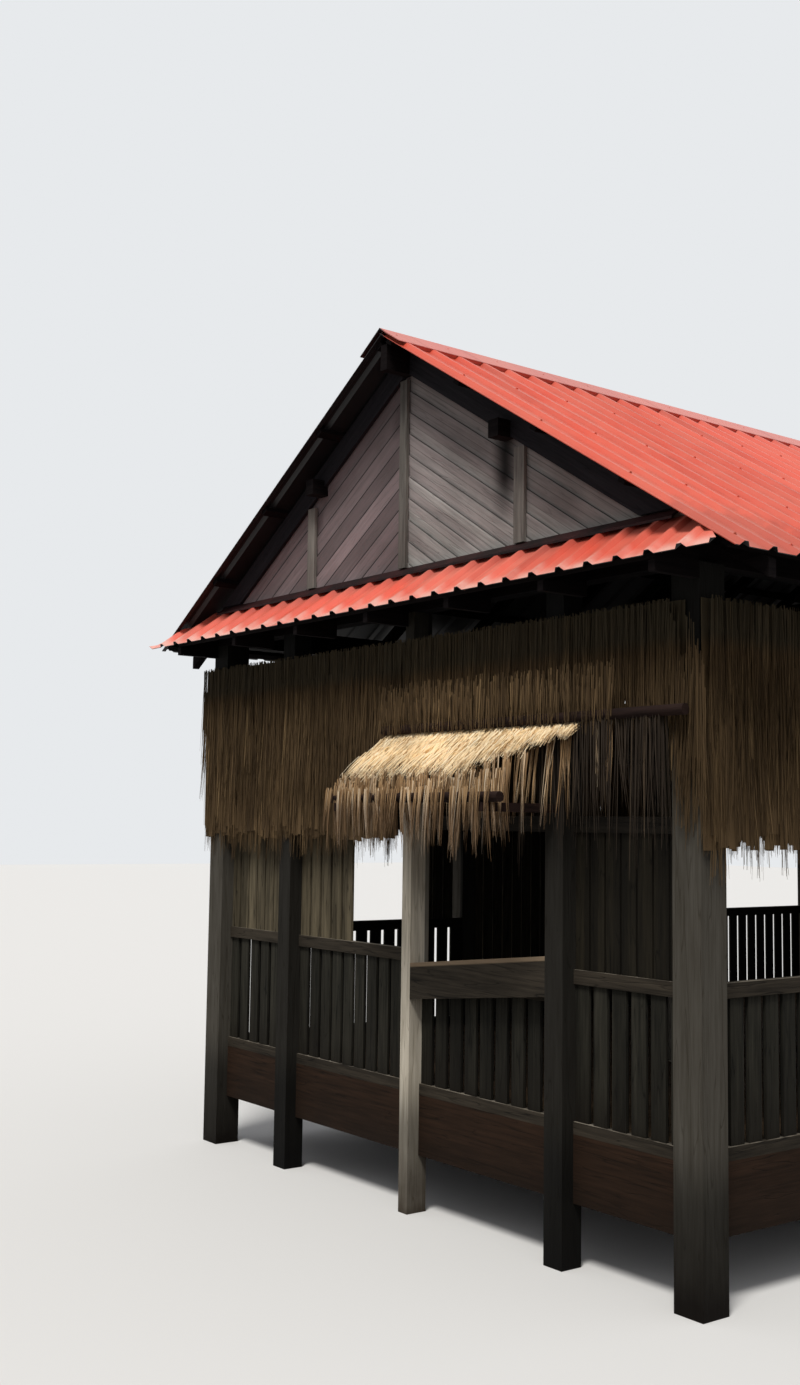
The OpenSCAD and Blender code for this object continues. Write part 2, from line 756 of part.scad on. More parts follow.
module front_grass_right() color([0.40, 0.32, 0.22]) placed() translate([0, -seat_gap, 0]) {
    intersection() {
        along(front_end_x, corner_strip_x) course_outline();
        across(-grass_t - eps, eps)
            polygon([[front_end_x, over_awning_z], [corner_strip_x, over_awning_z],
                [corner_strip_x, grass_top_z], [front_end_x, grass_top_z]]);
    }
    grass_panel(corner_strip_x, half_w + grass_t, grass_end_z + corner_end_rise, 50);
    loose_tufts();
}

// Single tufts hang from the wall pole in front of the opening beside the awning
loose_count = 6;
loose_w = 34;
loose_t = 12;
module loose_tufts() {
    step = (corner_strip_x - awning_x1) / (loose_count + 0.5);
    for (i = [0 : loose_count - 1])
        translate([awning_x1 + (i + 0.75) * step, wall_pole_y + loose_t / 2 + seat_gap, loose_top_z])
            rotate([90, 0, 0]) linear_extrude(loose_t)
                polygon([[-loose_w / 2, 0], [0, fringe_end_z + tuft(i, 33) - loose_top_z],
                    [loose_w / 2, 0]]);
}

module side_grass(seed) on_right_side()
    translate([0, -seat_gap, 0]) grass_panel(0, wall_len, grass_end_z - side_end_drop, seed);

module right_grass() color([0.40, 0.32, 0.22]) placed() side_grass(80);

module left_grass() color([0.42, 0.34, 0.24]) placed() mirror([1, 0, 0]) side_grass(140);

module rear_grass() color([0.42, 0.34, 0.24]) placed() at_rear()
    translate([0, -seat_gap, 0]) grass_panel(-half_w - grass_t, half_w + grass_t, grass_end_z, 200);

// Round poles between the posts hold the grass from behind
grass_pole_z = [grass_top_z - 70, (grass_top_z + head_z) / 2 + 60];
module grass_pole(s, z) {
    translate([s[0], grass_pole_r, z]) rotate([0, 90, 0])
        cylinder(h = s[1] - s[0], r = grass_pole_r, $fn = post_facets);
}

module grass_poles() color([0.38, 0.32, 0.22]) placed() for (z = grass_pole_z) {
    both_ends() for (s = end_spans) grass_pole(s, z);
    both_sides() on_right_side() for (s = side_spans) grass_pole(s, z);
}

// Awning

awning_outline = [
    [-grass_t - 2 * seat_gap, awning_top_z], [-awning_out, awning_top_z - awning_fall],
    [-awning_out, awning_under_z - awning_fall], [-grass_t - 2 * seat_gap, awning_under_z]];
module awning_grass() color([0.85, 0.72, 0.50]) placed()
    along(awning_x0, awning_x1) polygon(awning_outline);

module awning_fringe() color([0.80, 0.66, 0.45]) placed()
    across(-awning_out - fringe_t, -awning_out - seat_gap)
        ragged_outline(awning_x0, awning_x1, awning_top_z - awning_fall, fringe_end_z, 310);

// The arms reach out from the posts, and a pole lies on them under the awning's edge
pole_inset = 70;
arm_inset = 30;
awning_edge_y = -awning_out + pole_inset;
awning_edge_under = awning_under_z - (awning_out - pole_inset - grass_t) * tan(awning_pitch);
edge_pole_z = awning_edge_under - (awning_pole_r + seat_gap) / cos(awning_pitch);
arm_z = edge_pole_z - awning_pole_r - awning_arm;
wall_pole_y = -grass_t - awning_pole_r - 2 * seat_gap;
wall_pole_z = awning_top_z + seat_gap + awning_pole_r / cos(awning_pitch)
    - (awning_pole_r + seat_gap) * tan(awning_pitch);
loose_top_z = wall_pole_z - awning_pole_r - seat_gap;
module awning_pole(y, z, end) {
    translate([awning_x0, y, z]) rotate([0, 90, 0])
        cylinder(h = end - awning_x0, r = awning_pole_r, $fn = post_facets);
}

module awning_frame() color([0.35, 0.28, 0.20]) placed() {
    for (x = arm_x)
        bar([x - awning_arm / 2, x + awning_arm / 2], [-awning_out + arm_inset, 0],
            [arm_z, arm_z + awning_arm]);
    awning_pole(awning_edge_y, edge_pole_z, awning_x1);
    awning_pole(wall_pole_y, wall_pole_z, half_w - seat_gap);
}

front_posts();
middle_posts();
rear_posts();
floor_beams();
floor_joists();
floor_boards();
skirt_boards();
side_plates();
end_plates();
tie_beams();
king_posts();
ridge_beam();
purlins();
rafters();
roof_battens();
main_roof_right();
main_roof_left();
ridge_cap();
gable_trims();
front_pent_roof();
rear_pent_roof();
pent_brackets();
cover_strips();
front_gable_boards();
rear_gable_boards();
gable_battens();
front_rails();
front_slats();
front_planks();
right_rails();
right_slats();
right_planks();
left_rails();
left_slats();
left_planks();
rear_rails();
rear_planks();
grass_poles();
front_grass_left();
front_grass_right();
right_grass();
left_grass();
rear_grass();
awning_frame();
awning_grass();
awning_fringe();
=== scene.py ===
import math
import bpy
from mathutils import Matrix, Vector


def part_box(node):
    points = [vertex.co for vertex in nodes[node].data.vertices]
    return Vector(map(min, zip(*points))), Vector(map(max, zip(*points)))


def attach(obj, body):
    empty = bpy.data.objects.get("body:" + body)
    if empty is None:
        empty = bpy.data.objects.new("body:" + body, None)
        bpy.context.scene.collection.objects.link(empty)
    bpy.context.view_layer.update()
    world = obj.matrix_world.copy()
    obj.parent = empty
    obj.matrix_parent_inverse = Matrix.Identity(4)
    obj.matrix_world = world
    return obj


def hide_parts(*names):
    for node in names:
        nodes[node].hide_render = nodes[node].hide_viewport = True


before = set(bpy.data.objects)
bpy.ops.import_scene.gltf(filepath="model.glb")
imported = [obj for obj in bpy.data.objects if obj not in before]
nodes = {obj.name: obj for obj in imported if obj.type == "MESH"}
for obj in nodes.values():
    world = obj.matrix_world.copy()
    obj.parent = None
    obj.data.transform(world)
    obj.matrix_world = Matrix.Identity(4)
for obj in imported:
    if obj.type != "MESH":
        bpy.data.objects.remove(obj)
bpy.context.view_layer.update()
print("frame loaded:", len(nodes), "nodes")

# Sizes in metres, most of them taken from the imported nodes
postsLow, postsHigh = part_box("front_posts")
roofLow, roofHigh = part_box("main_roof_right")
frontY = postsLow.y
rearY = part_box("rear_posts")[1].y
middleY = (frontY + rearY) / 2
wallLength = rearY - frontY
halfWidth = postsHigh.x
ridgeZ = roofHigh.z
eaveX = roofHigh.x
vergeOut = frontY - roofLow.y
roofRise = 1.62  # from the eave's edge to the ridge
roofPitch = math.atan2(roofRise, eaveX)
slopeLength = eaveX / math.cos(roofPitch)
ribPitch = 0.19  # from rib to rib
origin = (0.0, 0.0, 0.0)

# Camera, set to the photo's solved view
view = {
    "place": (6.5692, -8.1137, 2.1341),
    "right": (0.601028, 0.799109, 0.013798),
    "up": (0.064794, -0.065926, 0.995719),
    "forward": (-0.796597, 0.597561, 0.091401),
    "focalPixels": 1444.1, "photoHeight": 1385, "sensor": 36.0, "near": 0.05, "far": 200.0,
}


def makeCamera():
    data = bpy.data.cameras.new("photoCamera")
    data.sensor_width = view["sensor"]
    data.lens = view["focalPixels"] / view["photoHeight"] * data.sensor_width
    data.clip_start = view["near"]
    data.clip_end = view["far"]
    camera = bpy.data.objects.new("photoCamera", data)
    bpy.context.scene.collection.objects.link(camera)
    turn = Matrix((Vector(view["right"]), Vector(view["up"]), -Vector(view["forward"])))
    camera.matrix_world = Matrix.Translation(Vector(view["place"])) @ turn.transposed().to_4x4()
    bpy.context.scene.camera = camera


makeCamera()
bpy.context.scene.view_settings.view_transform = "Standard"
print("camera placed")


# Node helpers: a value may be a number, a triple, a colour or another node's socket
def feed(tree, value, socket):
    if isinstance(value, bpy.types.NodeSocket):
        tree.links.new(value, socket)
    elif value is not None:
        socket.default_value = value


def addNode(tree, kind, inputs=None, **settings):
    # Makes a node and gives its outputs
    made = tree.nodes.new(kind)
    for name, value in settings.items():
        setattr(made, name, value)
    for name, value in (inputs or {}).items():
        feed(tree, value, made.inputs[name])
    return made.outputs


def compute(tree, operation, first, second=None, clamp=False):
    return addNode(tree, "ShaderNodeMath", {0: first, 1: second}, operation=operation, use_clamp=clamp)[0]


def plus(tree, first, second, clamp=False):
    return compute(tree, "ADD", first, second, clamp)


def minus(tree, first, second):
    return compute(tree, "SUBTRACT", first, second)


def times(tree, first, second, clamp=False):
    return compute(tree, "MULTIPLY", first, second, clamp)


def ratio(tree, first, second):
    return compute(tree, "DIVIDE", first, second)


def away(tree, value, centre=0.0):
    # How far a value lies from a centre, on either side
    return compute(tree, "ABSOLUTE", minus(tree, value, centre))


def vectorMath(tree, operation, first, second=None, scale=None):
    return addNode(tree, "ShaderNodeVectorMath", {0: first, 1: second, 3: scale}, operation=operation)[0]


def axes(tree, vector):
    return addNode(tree, "ShaderNodeSeparateXYZ", {"Vector": vector})


def joinAxes(tree, x=0.0, y=0.0, z=0.0):
    return addNode(tree, "ShaderNodeCombineXYZ", {"X": x, "Y": y, "Z": z})[0]


def remap(tree, value, low, high, toLow=0.0, toHigh=1.0, smooth=False):
    return addNode(tree, "ShaderNodeMapRange", {
        "Value": value, "From Min": low, "From Max": high, "To Min": toLow, "To Max": toHigh},
        interpolation_type="SMOOTHSTEP" if smooth else "LINEAR")["Result"]


def noise(tree, vector, scale, detail, roughness=0.5, distortion=0.0):
    return addNode(tree, "ShaderNodeTexNoise", {
        "Vector": vector, "Scale": scale, "Detail": detail, "Roughness": roughness,
        "Distortion": distortion})[0]


def toneOf(tree, number):
    # A random tone for each whole number
    return addNode(tree, "ShaderNodeTexWhiteNoise", {"W": number}, noise_dimensions="1D")["Value"]


def turnY(tree, vector, angle):
    return addNode(tree, "ShaderNodeVectorRotate", {"Vector": vector, "Angle": angle},
                   rotation_type="Y_AXIS")[0]


def srgb(red, green, blue):
    def linear(value):
        share = value / 255.0
        return share / 12.92 if share <= 0.04045 else ((share + 0.055) / 1.055) ** 2.4
    return (linear(red), linear(green), linear(blue), 1.0)


def plainColour(colour):
    # Red, green and blue from 0 to 255 become linear, and a socket or four linear values stay
    return srgb(*colour) if isinstance(colour, tuple) and len(colour) == 3 else colour


def mixColour(tree, factor, first, second, blend="MIX"):
    return addNode(tree, "ShaderNodeMix", {0: factor, 6: plainColour(first), 7: plainColour(second)},
                   data_type="RGBA", blend_type=blend, clamp_factor=True)[2]


def shadeBy(tree, colour, value):
    grey = addNode(tree, "ShaderNodeCombineColor", {"Red": value, "Green": value, "Blue": value})[0]
    return mixColour(tree, 1.0, colour, grey, "MULTIPLY")


socketKinds = {float: "NodeSocketFloat", int: "NodeSocketInt", tuple: "NodeSocketVector"}


def newTree(kind, name, inputs, outputs):
    # An input is given by its default, or by its kind where it has none, and an output by its kind
    tree = bpy.data.node_groups.new(name, kind)
    for label, value in inputs.items():
        hasDefault = type(value) in socketKinds
        socket = tree.interface.new_socket(
            name=label, in_out="INPUT", socket_type=socketKinds[type(value)] if hasDefault else value)
        if hasDefault:
            socket.default_value = value
    for label, outKind in outputs.items():
        tree.interface.new_socket(name=label, in_out="OUTPUT", socket_type=outKind)
    start = tree.nodes.new("NodeGroupInput")
    end = tree.nodes.new("NodeGroupOutput")
    return tree, start.outputs, end.inputs


def shaderGroup(name, inputs, *outputs):
    return newTree("ShaderNodeTree", name, inputs, {label: "NodeSocketFloat" for label in outputs})


def useGroup(tree, group, inputs):
    return addNode(tree, "ShaderNodeGroup", inputs, node_tree=group)


# Shared effects
def makeGrainGroup():
    # Long fibres, broad figure and drying cracks; the grain follows the axis with the small scale
    tree, given, out = shaderGroup("timberGrain", {
        "Vector": origin, "Turn": 0.0, "Stretch": (1.0, 1.0, 1.0), "Crack": 0.5}, "Tone", "Height")
    scaled = vectorMath(tree, "MULTIPLY", turnY(tree, given["Vector"], given["Turn"]), given["Stretch"])
    fibre = noise(tree, scaled, 5.0, 5.0, 0.6)
    figure = noise(tree, scaled, 1.1, 2.0, distortion=0.6)
    split = noise(tree, scaled, 2.3, 1.0, distortion=0.2)
    crack = remap(tree, away(tree, split, 0.5), 0.0, 0.018)
    crackDepth = times(tree, minus(tree, 1.0, crack), given["Crack"])
    tone = plus(tree, times(tree, fibre, 0.6), times(tree, figure, 0.4))
    tree.links.new(minus(tree, tone, times(tree, crackDepth, 0.3)), out["Tone"])
    tree.links.new(minus(tree, fibre, crackDepth), out["Height"])
    return tree


def makeBoardGroup():
    # A different tone for each board, from its place across the wall
    tree, given, out = shaderGroup("boardTone", {"Across": 0.0, "Pitch": 0.1, "Seed": 0.0}, "Random", "Edge")
    place = plus(tree, ratio(tree, given["Across"], given["Pitch"]), given["Seed"])
    fromMiddle = away(tree, compute(tree, "FRACT", place), 0.5)
    tree.links.new(toneOf(tree, compute(tree, "FLOOR", place)), out["Random"])
    tree.links.new(remap(tree, fromMiddle, 0.40, 0.5), out["Edge"])
    return tree


def makeDirtGroup():
    # Damp and splashed dirt near a level, broken up by noise
    tree, given, out = shaderGroup("groundDirt", {
        "Vector": origin, "Low": 0.0, "High": 1.0, "Scale": 3.0}, "Mask")
    fall = remap(tree, axes(tree, given["Vector"])["Z"], given["Low"], given["High"], 1.0, 0.0)
    patch = noise(tree, given["Vector"], given["Scale"], 4.0)
    broken = plus(tree, fall, times(tree, minus(tree, patch, 0.5), 1.2))
    tree.links.new(times(tree, broken, fall, clamp=True), out["Mask"])
    return tree


def makeDustGroup():
    # Dust that lies on faces turned upwards
    tree, given, out = shaderGroup("lyingDust", {"Vector": origin, "Scale": 6.0, "Amount": 0.5}, "Mask")
    facing = axes(tree, addNode(tree, "ShaderNodeNewGeometry")["Normal"])
    up = remap(tree, facing["Z"], 0.3, 0.9)
    cloud = remap(tree, noise(tree, given["Vector"], given["Scale"], 5.0), 0.35, 0.65)
    tree.links.new(times(tree, times(tree, up, cloud), given["Amount"]), out["Mask"])
    return tree


def makeStreakGroup():
    # Run-off streaks along a fall, from coordinates whose x runs down it
    tree, given, out = shaderGroup("runOff", {
        "Vector": origin, "Stretch": (0.6, 9.0, 1.0), "Low": 0.45, "High": 0.7}, "Mask")
    scaled = vectorMath(tree, "MULTIPLY", given["Vector"], given["Stretch"])
    streak = noise(tree, scaled, 1.0, 4.0, 0.55)
    tree.links.new(remap(tree, streak, given["Low"], given["High"], smooth=True), out["Mask"])
    return tree


def makeRoomGroup():
    # Painted shade on faces inside the room, between the walls' inner faces and above the floor
    tree, given, out = shaderGroup("paintedRoomShade", {
        "Vector": origin, "Half X": 2.0, "Half Y": 3.0, "Middle Y": 0.0, "Floor Z": 0.6}, "Mask")
    place = axes(tree, given["Vector"])
    across = minus(tree, given["Half X"], away(tree, place["X"]))
    along = minus(tree, given["Half Y"], away(tree, place["Y"], given["Middle Y"]))
    above = minus(tree, place["Z"], given["Floor Z"])
    least = compute(tree, "MINIMUM", compute(tree, "MINIMUM", across, along), above)
    tree.links.new(remap(tree, least, -0.001, 0.002), out["Mask"])
    return tree


grainGroup = makeGrainGroup()
boardGroup = makeBoardGroup()
dirtGroup = makeDirtGroup()
dustGroup = makeDustGroup()
streakGroup = makeStreakGroup()
roomGroup = makeRoomGroup()


def newMaterial(name, specular=0.12):
    # Weathered timber and dry grass hardly reflect, so the specular level is low unless a finish raises it
    material = bpy.data.materials.new(name)
    material.use_nodes = True
    tree = material.node_tree
    tree.nodes["Principled BSDF"].inputs["Specular IOR Level"].default_value = specular
    return material, tree, addNode(tree, "ShaderNodeTexCoord")["Object"]


def dress(material, colour, roughness, height=None, strength=0.5, distance=0.004):
    tree = material.node_tree
    shader = tree.nodes["Principled BSDF"]
    feed(tree, colour, shader.inputs["Base Color"])
    feed(tree, roughness, shader.inputs["Roughness"])
    if height is not None:
        bump = addNode(tree, "ShaderNodeBump", {"Height": height, "Strength": strength, "Distance": distance})
        tree.links.new(bump[0], shader.inputs["Normal"])
    return material


# Timber finishes: dark and light ends of the grain, the grain's stretch and the depth of its cracks.
# A board is (axis across, pitch, how much boards differ); a painted shade, (axis, from, to, factor), paints
# light and shade by place
alongZ = (11.0, 11.0, 0.7)
alongLevel = (0.7, 0.7, 13.0)
acrossSlope = (0.7, 6.0, 13.0)
timber = {
    # Posts: the pale colour is painted sunlight on the posts near the middle line; painted shade darkens the
    # others (the corner ones less), their tops under the eaves and their feet under the floor
    "posts": {"dark": (186, 176, 156), "light": (250, 242, 224), "stretch": alongZ, "crack": 0.6,
              "dirt": (0.0, 0.7), "dirtColour": (90, 74, 58), "paintedShades": [
                  ("Z", 2.6, 2.95, 0.07), ("Z", 0.8, 0.45, 0.35), ("AbsX", 0.12, 0.3, 0.028),
                  ("AbsX", 1.4, 1.9, 4.2)]},
    # Its dark colour is partly painted shade under the house
    "floorTimber": {"dark": (27, 19, 13), "light": (61, 43, 31), "stretch": alongLevel, "crack": 0.5,
                    "dirt": (0.25, 0.75), "dirtColour": (30, 22, 16)},
    "floorBoards": {"dark": (62, 49, 36), "light": (112, 92, 70), "stretch": (9.0, 0.7, 9.0),
                    "crack": 0.3, "board": ("X", 0.14, 0.35)},
    # Near black: partly painted shade under the roof
    "roofTimber": {"dark": (12, 10, 12), "light": (30, 25, 25), "stretch": alongLevel, "crack": 0.4,
                   "specular": 0.04},
    # Dark: partly painted shade under the verge
    "darkTrim": {"dark": (20, 19, 22), "light": (42, 39, 43), "stretch": acrossSlope, "crack": 0.4,
                 "slope": True},
    # Painted light and shade: paler on the side battens, darker low down
    "battens": {"dark": (84, 80, 76), "light": (132, 128, 121), "stretch": alongZ, "crack": 0.3,
                "paintedShades": [("AbsX", 0.2, 0.8, 1.35), ("Z", 3.95, 3.7, 0.8)]},
    # Painted shade above 1.9 m, under the awning
    "railBoards": {"dark": (30, 27, 23), "light": (74, 67, 57), "stretch": alongLevel, "crack": 0.5,
                   "dust": 0.7, "dustColour": (150, 142, 128), "sillWearAndHighlight": (142, 124, 102),
                   "paintedShades": [("Z", 1.9, 2.0, 0.3)]},
    # Painted shade on the boards right of the wide window, under the awning
    "wallBoards": {"dark": (48, 43, 34), "light": (124, 114, 92), "stretch": alongZ, "crack": 0.5,
                   "board": ("XY", 0.0975, 0.75), "dirt": (0.6, 1.3), "dirtColour": (52, 42, 31),
                   "paintedShades": [("X", 0.8, 1.3, 0.12)]},
    # Their dark colour is partly painted shade
    "slatBoards": {"dark": (20, 20, 17), "light": (60, 58, 50), "stretch": alongZ, "crack": 0.5,
                   "board": ("XY", 0.121, 0.8), "dirt": (0.6, 1.2), "dirtColour": (24, 20, 15)},
    "poles": {"dark": (22, 14, 13), "light": (50, 35, 30), "stretch": (0.8, 0.8, 12.0), "crack": 0.2},
}
# The board under the wide window: its upper edge at x 0, its rise per metre, the pale band along that edge
# (wear and painted highlight) and its run
sill = {"level": 1.3596, "tilt": 0.1122, "edge": 0.026, "blur": 0.008, "depth": 0.045, "middle": 0.63,
        "half": 0.6}
room = {"inset": 0.101, "halfX": 2.097, "floor": 0.645, "shade": 0.3}


def slopeCoordinates(tree, place):
    # Both slopes share one pattern space: x is taken outwards from the ridge line
    split = axes(tree, place)
    return joinAxes(tree, away(tree, split["X"]), split["Y"], split["Z"]), split


def boardShade(tree, split, axis, pitch, amount):
    across = split["X"]
    if axis == "XY":
        across = plus(tree, across, split["Y"])
    board = useGroup(tree, boardGroup, {"Across": across, "Pitch": pitch, "Seed": 0.31})
    return remap(tree, board["Random"], 0.0, 1.0, 1.0 - amount * 0.55, 1.0 + amount * 0.35)


def sillMask(tree, split):
    topEdge = plus(tree, times(tree, split["X"], sill["tilt"]), sill["level"])
    paleTopBand = remap(tree, minus(tree, topEdge, split["Z"]), sill["edge"], sill["edge"] - sill["blur"])
    inFront = compute(tree, "LESS_THAN", split["Y"], frontY + sill["depth"])
    within = compute(tree, "LESS_THAN", away(tree, split["X"], sill["middle"]), sill["half"])
    return times(tree, times(tree, paleTopBand, inFront), within)


def roomMask(tree, place):
    return useGroup(tree, roomGroup, {
        "Vector": place, "Half X": room["halfX"], "Half Y": wallLength / 2 - room["inset"],
        "Middle Y": middleY, "Floor Z": room["floor"]})["Mask"]


def timberFinish(name):
    values = timber[name]
    material, tree, place = newMaterial(name, values.get("specular", 0.12))
    vector, split = slopeCoordinates(tree, place)
    onSlope = values.get("slope", False)
    grain = useGroup(tree, grainGroup, {
        "Vector": vector if onSlope else place, "Turn": -roofPitch if onSlope else 0.0,
        "Stretch": values["stretch"], "Crack": values["crack"]})
    tone = remap(tree, grain["Tone"], 0.3, 0.7)
    colour = mixColour(tree, tone, values["dark"], values["light"])
    if "board" in values:
        colour = shadeBy(tree, colour, boardShade(tree, split, *values["board"]))
    if "dirt" in values:
        low, high = values["dirt"]
        dirt = useGroup(tree, dirtGroup, {"Vector": place, "Low": low, "High": high, "Scale": 4.0})
        colour = mixColour(tree, dirt["Mask"], colour, values["dirtColour"])
    if "dust" in values:
        dust = useGroup(tree, dustGroup, {"Vector": place, "Scale": 9.0, "Amount": values["dust"]})
        colour = mixColour(tree, dust["Mask"], colour, values["dustColour"])
    # A pale band along the sill's upper edge: wear, and a painted highlight where its top would catch the
    # light
    if "sillWearAndHighlight" in values:
        colour = mixColour(tree, sillMask(tree, split), colour, values["sillWearAndHighlight"])
    # Painted light and shade: the colour is scaled by a factor between two places along an axis
    for axis, start, end, factor in values.get("paintedShades", ()):
        source = split[axis[-1]]
        if axis == "AbsX":
            source = away(tree, source)
        colour = shadeBy(tree, colour, remap(tree, source, start, end, 1.0, factor, smooth=True))
    # Painted shade inside the room
    colour = shadeBy(tree, colour, remap(tree, roomMask(tree, place), 0.0, 1.0, 1.0, room["shade"]))
    roughness = remap(tree, grain["Tone"], 0.3, 0.7, 0.92, 0.78)
    return dress(material, colour, roughness, grain["Height"])


# Gable boards: brown left of the batten, pale and finely split right of it, dark in a water stain with
# painted shade below the purlin end.
# Heights and reaches are in metres, and topOffset lines the pattern up with the laps
gable = {
    "pitch": 0.108, "topOffset": 0.385, "leftSeed": 37.0, "sheetDepth": 0.066, "trimShadow": (0.26, 0.55),
    "pale": (192, 193, 187), "high": (166, 156, 154), "paleHeights": (3.62, 4.4), "paleReach": (0.2, 1.6),
    "left": (138, 123, 124), "brownHeights": (3.7, 4.6), "dark": (100, 94, 92), "seam": (24, 20, 19),
    "streakAndShadeX": 0.85, "streakAndShadeWidth": 0.13, "streakAndShadeHeights": (3.74, 3.98),
}


def gableFinish():
    material, tree, place = newMaterial("gableBoards")
    vector, split = slopeCoordinates(tree, place)
    grain = useGroup(tree, grainGroup, {
        "Vector": vector, "Turn": -roofPitch, "Stretch": acrossSlope, "Crack": 0.4})
    down = axes(tree, turnY(tree, vector, -roofPitch))["Z"]
    left = remap(tree, split["X"], -0.01, 0.01, 1.0, 0.0)

    def bySide(onRight, onLeft):
        return remap(tree, left, 0.0, 1.0, onRight, onLeft)

    seed = plus(tree, times(tree, left, gable["leftSeed"]), gable["topOffset"])
    board = useGroup(tree, boardGroup, {"Across": down, "Pitch": gable["pitch"], "Seed": seed})
    half = useGroup(tree, boardGroup, {
        "Across": down, "Pitch": gable["pitch"] / 2, "Seed": gable["topOffset"] * 2})

    # Ground colours of the two sides, with broad patches
    low = remap(tree, split["Z"], *gable["paleHeights"], 1.0, 0.0)
    wide = remap(tree, away(tree, split["X"]), *gable["paleReach"])
    paleness = plus(tree, times(tree, low, 0.65), times(tree, wide, -0.15))
    paleness = plus(tree, paleness, remap(tree, half["Random"], 0.0, 1.0, -0.2, 0.25), clamp=True)
    right = mixColour(tree, paleness, gable["high"], gable["pale"])
    lowBrown = remap(tree, split["Z"], *gable["brownHeights"], 1.2, 0.75)
    brownShade = times(tree, lowBrown, remap(tree, board["Random"], 0.0, 1.0, 0.62, 1.38))
    colour = mixColour(tree, left, right, shadeBy(tree, gable["left"], brownShade))
    colour = shadeBy(tree, colour, remap(tree, noise(tree, place, 2.6, 4.0), 0.3, 0.7, 0.78, 1.16))
    dull = minus(tree, 1.0, remap(tree, grain["Tone"], 0.3, 0.6))
    colour = mixColour(tree, times(tree, dull, 0.6), colour, gable["dark"])

    # Seams between boards, finer splits on the right, the water stain and painted shade below the purlin end,
    # and the painted shadow under the trims
    seam = remap(tree, board["Edge"], bySide(0.7, 0.2), bySide(1.0, 0.7))
    colour = mixColour(tree, times(tree, seam, bySide(0.6, 0.97)), colour, gable["seam"])
    fineSeam = times(tree, remap(tree, half["Edge"], 0.5, 1.0), bySide(0.55, 0.0))
    colour = mixColour(tree, fineSeam, colour, gable["seam"])
    beside = away(tree, split["X"], gable["streakAndShadeX"])
    nearStreakAndShade = remap(tree, beside, 0.0, gable["streakAndShadeWidth"], 1.0, 0.0, smooth=True)
    streakAndShade = times(tree, nearStreakAndShade, remap(tree, split["Z"], *gable["streakAndShadeHeights"], 0.05, 1.0))
    colour = mixColour(tree, times(tree, streakAndShade, 0.95), colour, gable["seam"])
    slopeDepth = minus(tree, (ridgeZ - gable["sheetDepth"]) * math.cos(roofPitch), down)
    colour = shadeBy(tree, colour, remap(tree, slopeDepth, *gable["trimShadow"], 0.75, 1.0, smooth=True))
    height = minus(tree, grain["Height"], times(tree, board["Edge"], 0.8))
    return dress(material, colour, 0.88, height)


# Roofing sheet: coral coating with faded patches, grime in the troughs, dusty run-off, and painted shade,
# near black, on the underside
sheet = {
    "main": {"coat": (218, 84, 60), "faded": (222, 106, 83), "far": 0.3},
    "closure": {"coat": (206, 98, 80), "faded": (216, 124, 108), "far": 0.3, "skipUnderShade": True},
    "pent": {"coat": (232, 94, 72), "faded": (236, 128, 108), "far": 0.0},
    "cap": {"coat": (210, 116, 104), "faded": (222, 146, 140), "far": 0.3},
    # The back colour is the near-black painted shade of the underside; the far colour is a painted sheen
    # towards the rear
    "grime": (136, 58, 47), "dust": (210, 146, 128), "back": (18, 16, 17), "farSheenColour": (220, 140, 134),
    # The strip colour is the painted shade on the pent roofs against the gables
    "strip": (128, 44, 34), "lip": (240, 196, 182), "lapEvery": 5,  # ribs from lap to lap
    "trough": (0.012, 0.026), "eaveBand": (0.5, 0.3), "lipBand": (0.1, 0.02),
}
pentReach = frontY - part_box("front_pent_roof")[0].y


def slopeGrime(tree, colour, place, split, fall):
    # Grime in the troughs between the ribs, and an uneven darker band above the eave
    fine = noise(tree, place, 9.0, 4.0)
    rise = plus(tree, split["Z"], times(tree, fall, math.tan(roofPitch)))
    trough = remap(tree, minus(tree, ridgeZ, rise), *sheet["trough"])
    trough = times(tree, trough, remap(tree, fine, 0.3, 0.7))
    colour = mixColour(tree, times(tree, trough, 0.35), colour, sheet["grime"])
    uneven = times(tree, minus(tree, fine, 0.5), 0.5)
    upper, lower = sheet["eaveBand"]
    eave = remap(tree, plus(tree, fall, uneven), eaveX - upper, eaveX - lower, 0.0, 0.4, smooth=True)
    return mixColour(tree, eave, colour, sheet["grime"])


def pentShades(tree, colour, place, split):
    # Painted shade against the gable, and a pale lip of wear along the edge
    outwards = minus(tree, away(tree, split["Y"], middleY), wallLength / 2)
    shadow = remap(tree, outwards, 0.02, pentReach * 0.5, 0.55, 0.0, smooth=True)
    colour = mixColour(tree, shadow, colour, sheet["strip"])
    start, end = sheet["lipBand"]
    lip = remap(tree, outwards, pentReach - start, pentReach - end, 0.0, 0.8, smooth=True)
    lip = times(tree, lip, remap(tree, noise(tree, place, 7.0, 3.0), 0.35, 0.6, 0.25, 1.0))
    return mixColour(tree, lip, colour, sheet["lip"])


def paintedUndersideShade(tree, split, onPent):
    # Painted shade, near black, on the underside and on the end edges of the left slope
    facing = axes(tree, addNode(tree, "ShaderNodeNewGeometry")["Normal"])
    under = remap(tree, facing["Z"], 0.0, -0.1)
    if onPent:
        return under
    verge = remap(tree, away(tree, facing["Y"]), 0.8, 0.9)
    leftSide = remap(tree, split["X"], 0.06, 0.02)
    return compute(tree, "MAXIMUM", under, times(tree, verge, leftSide))


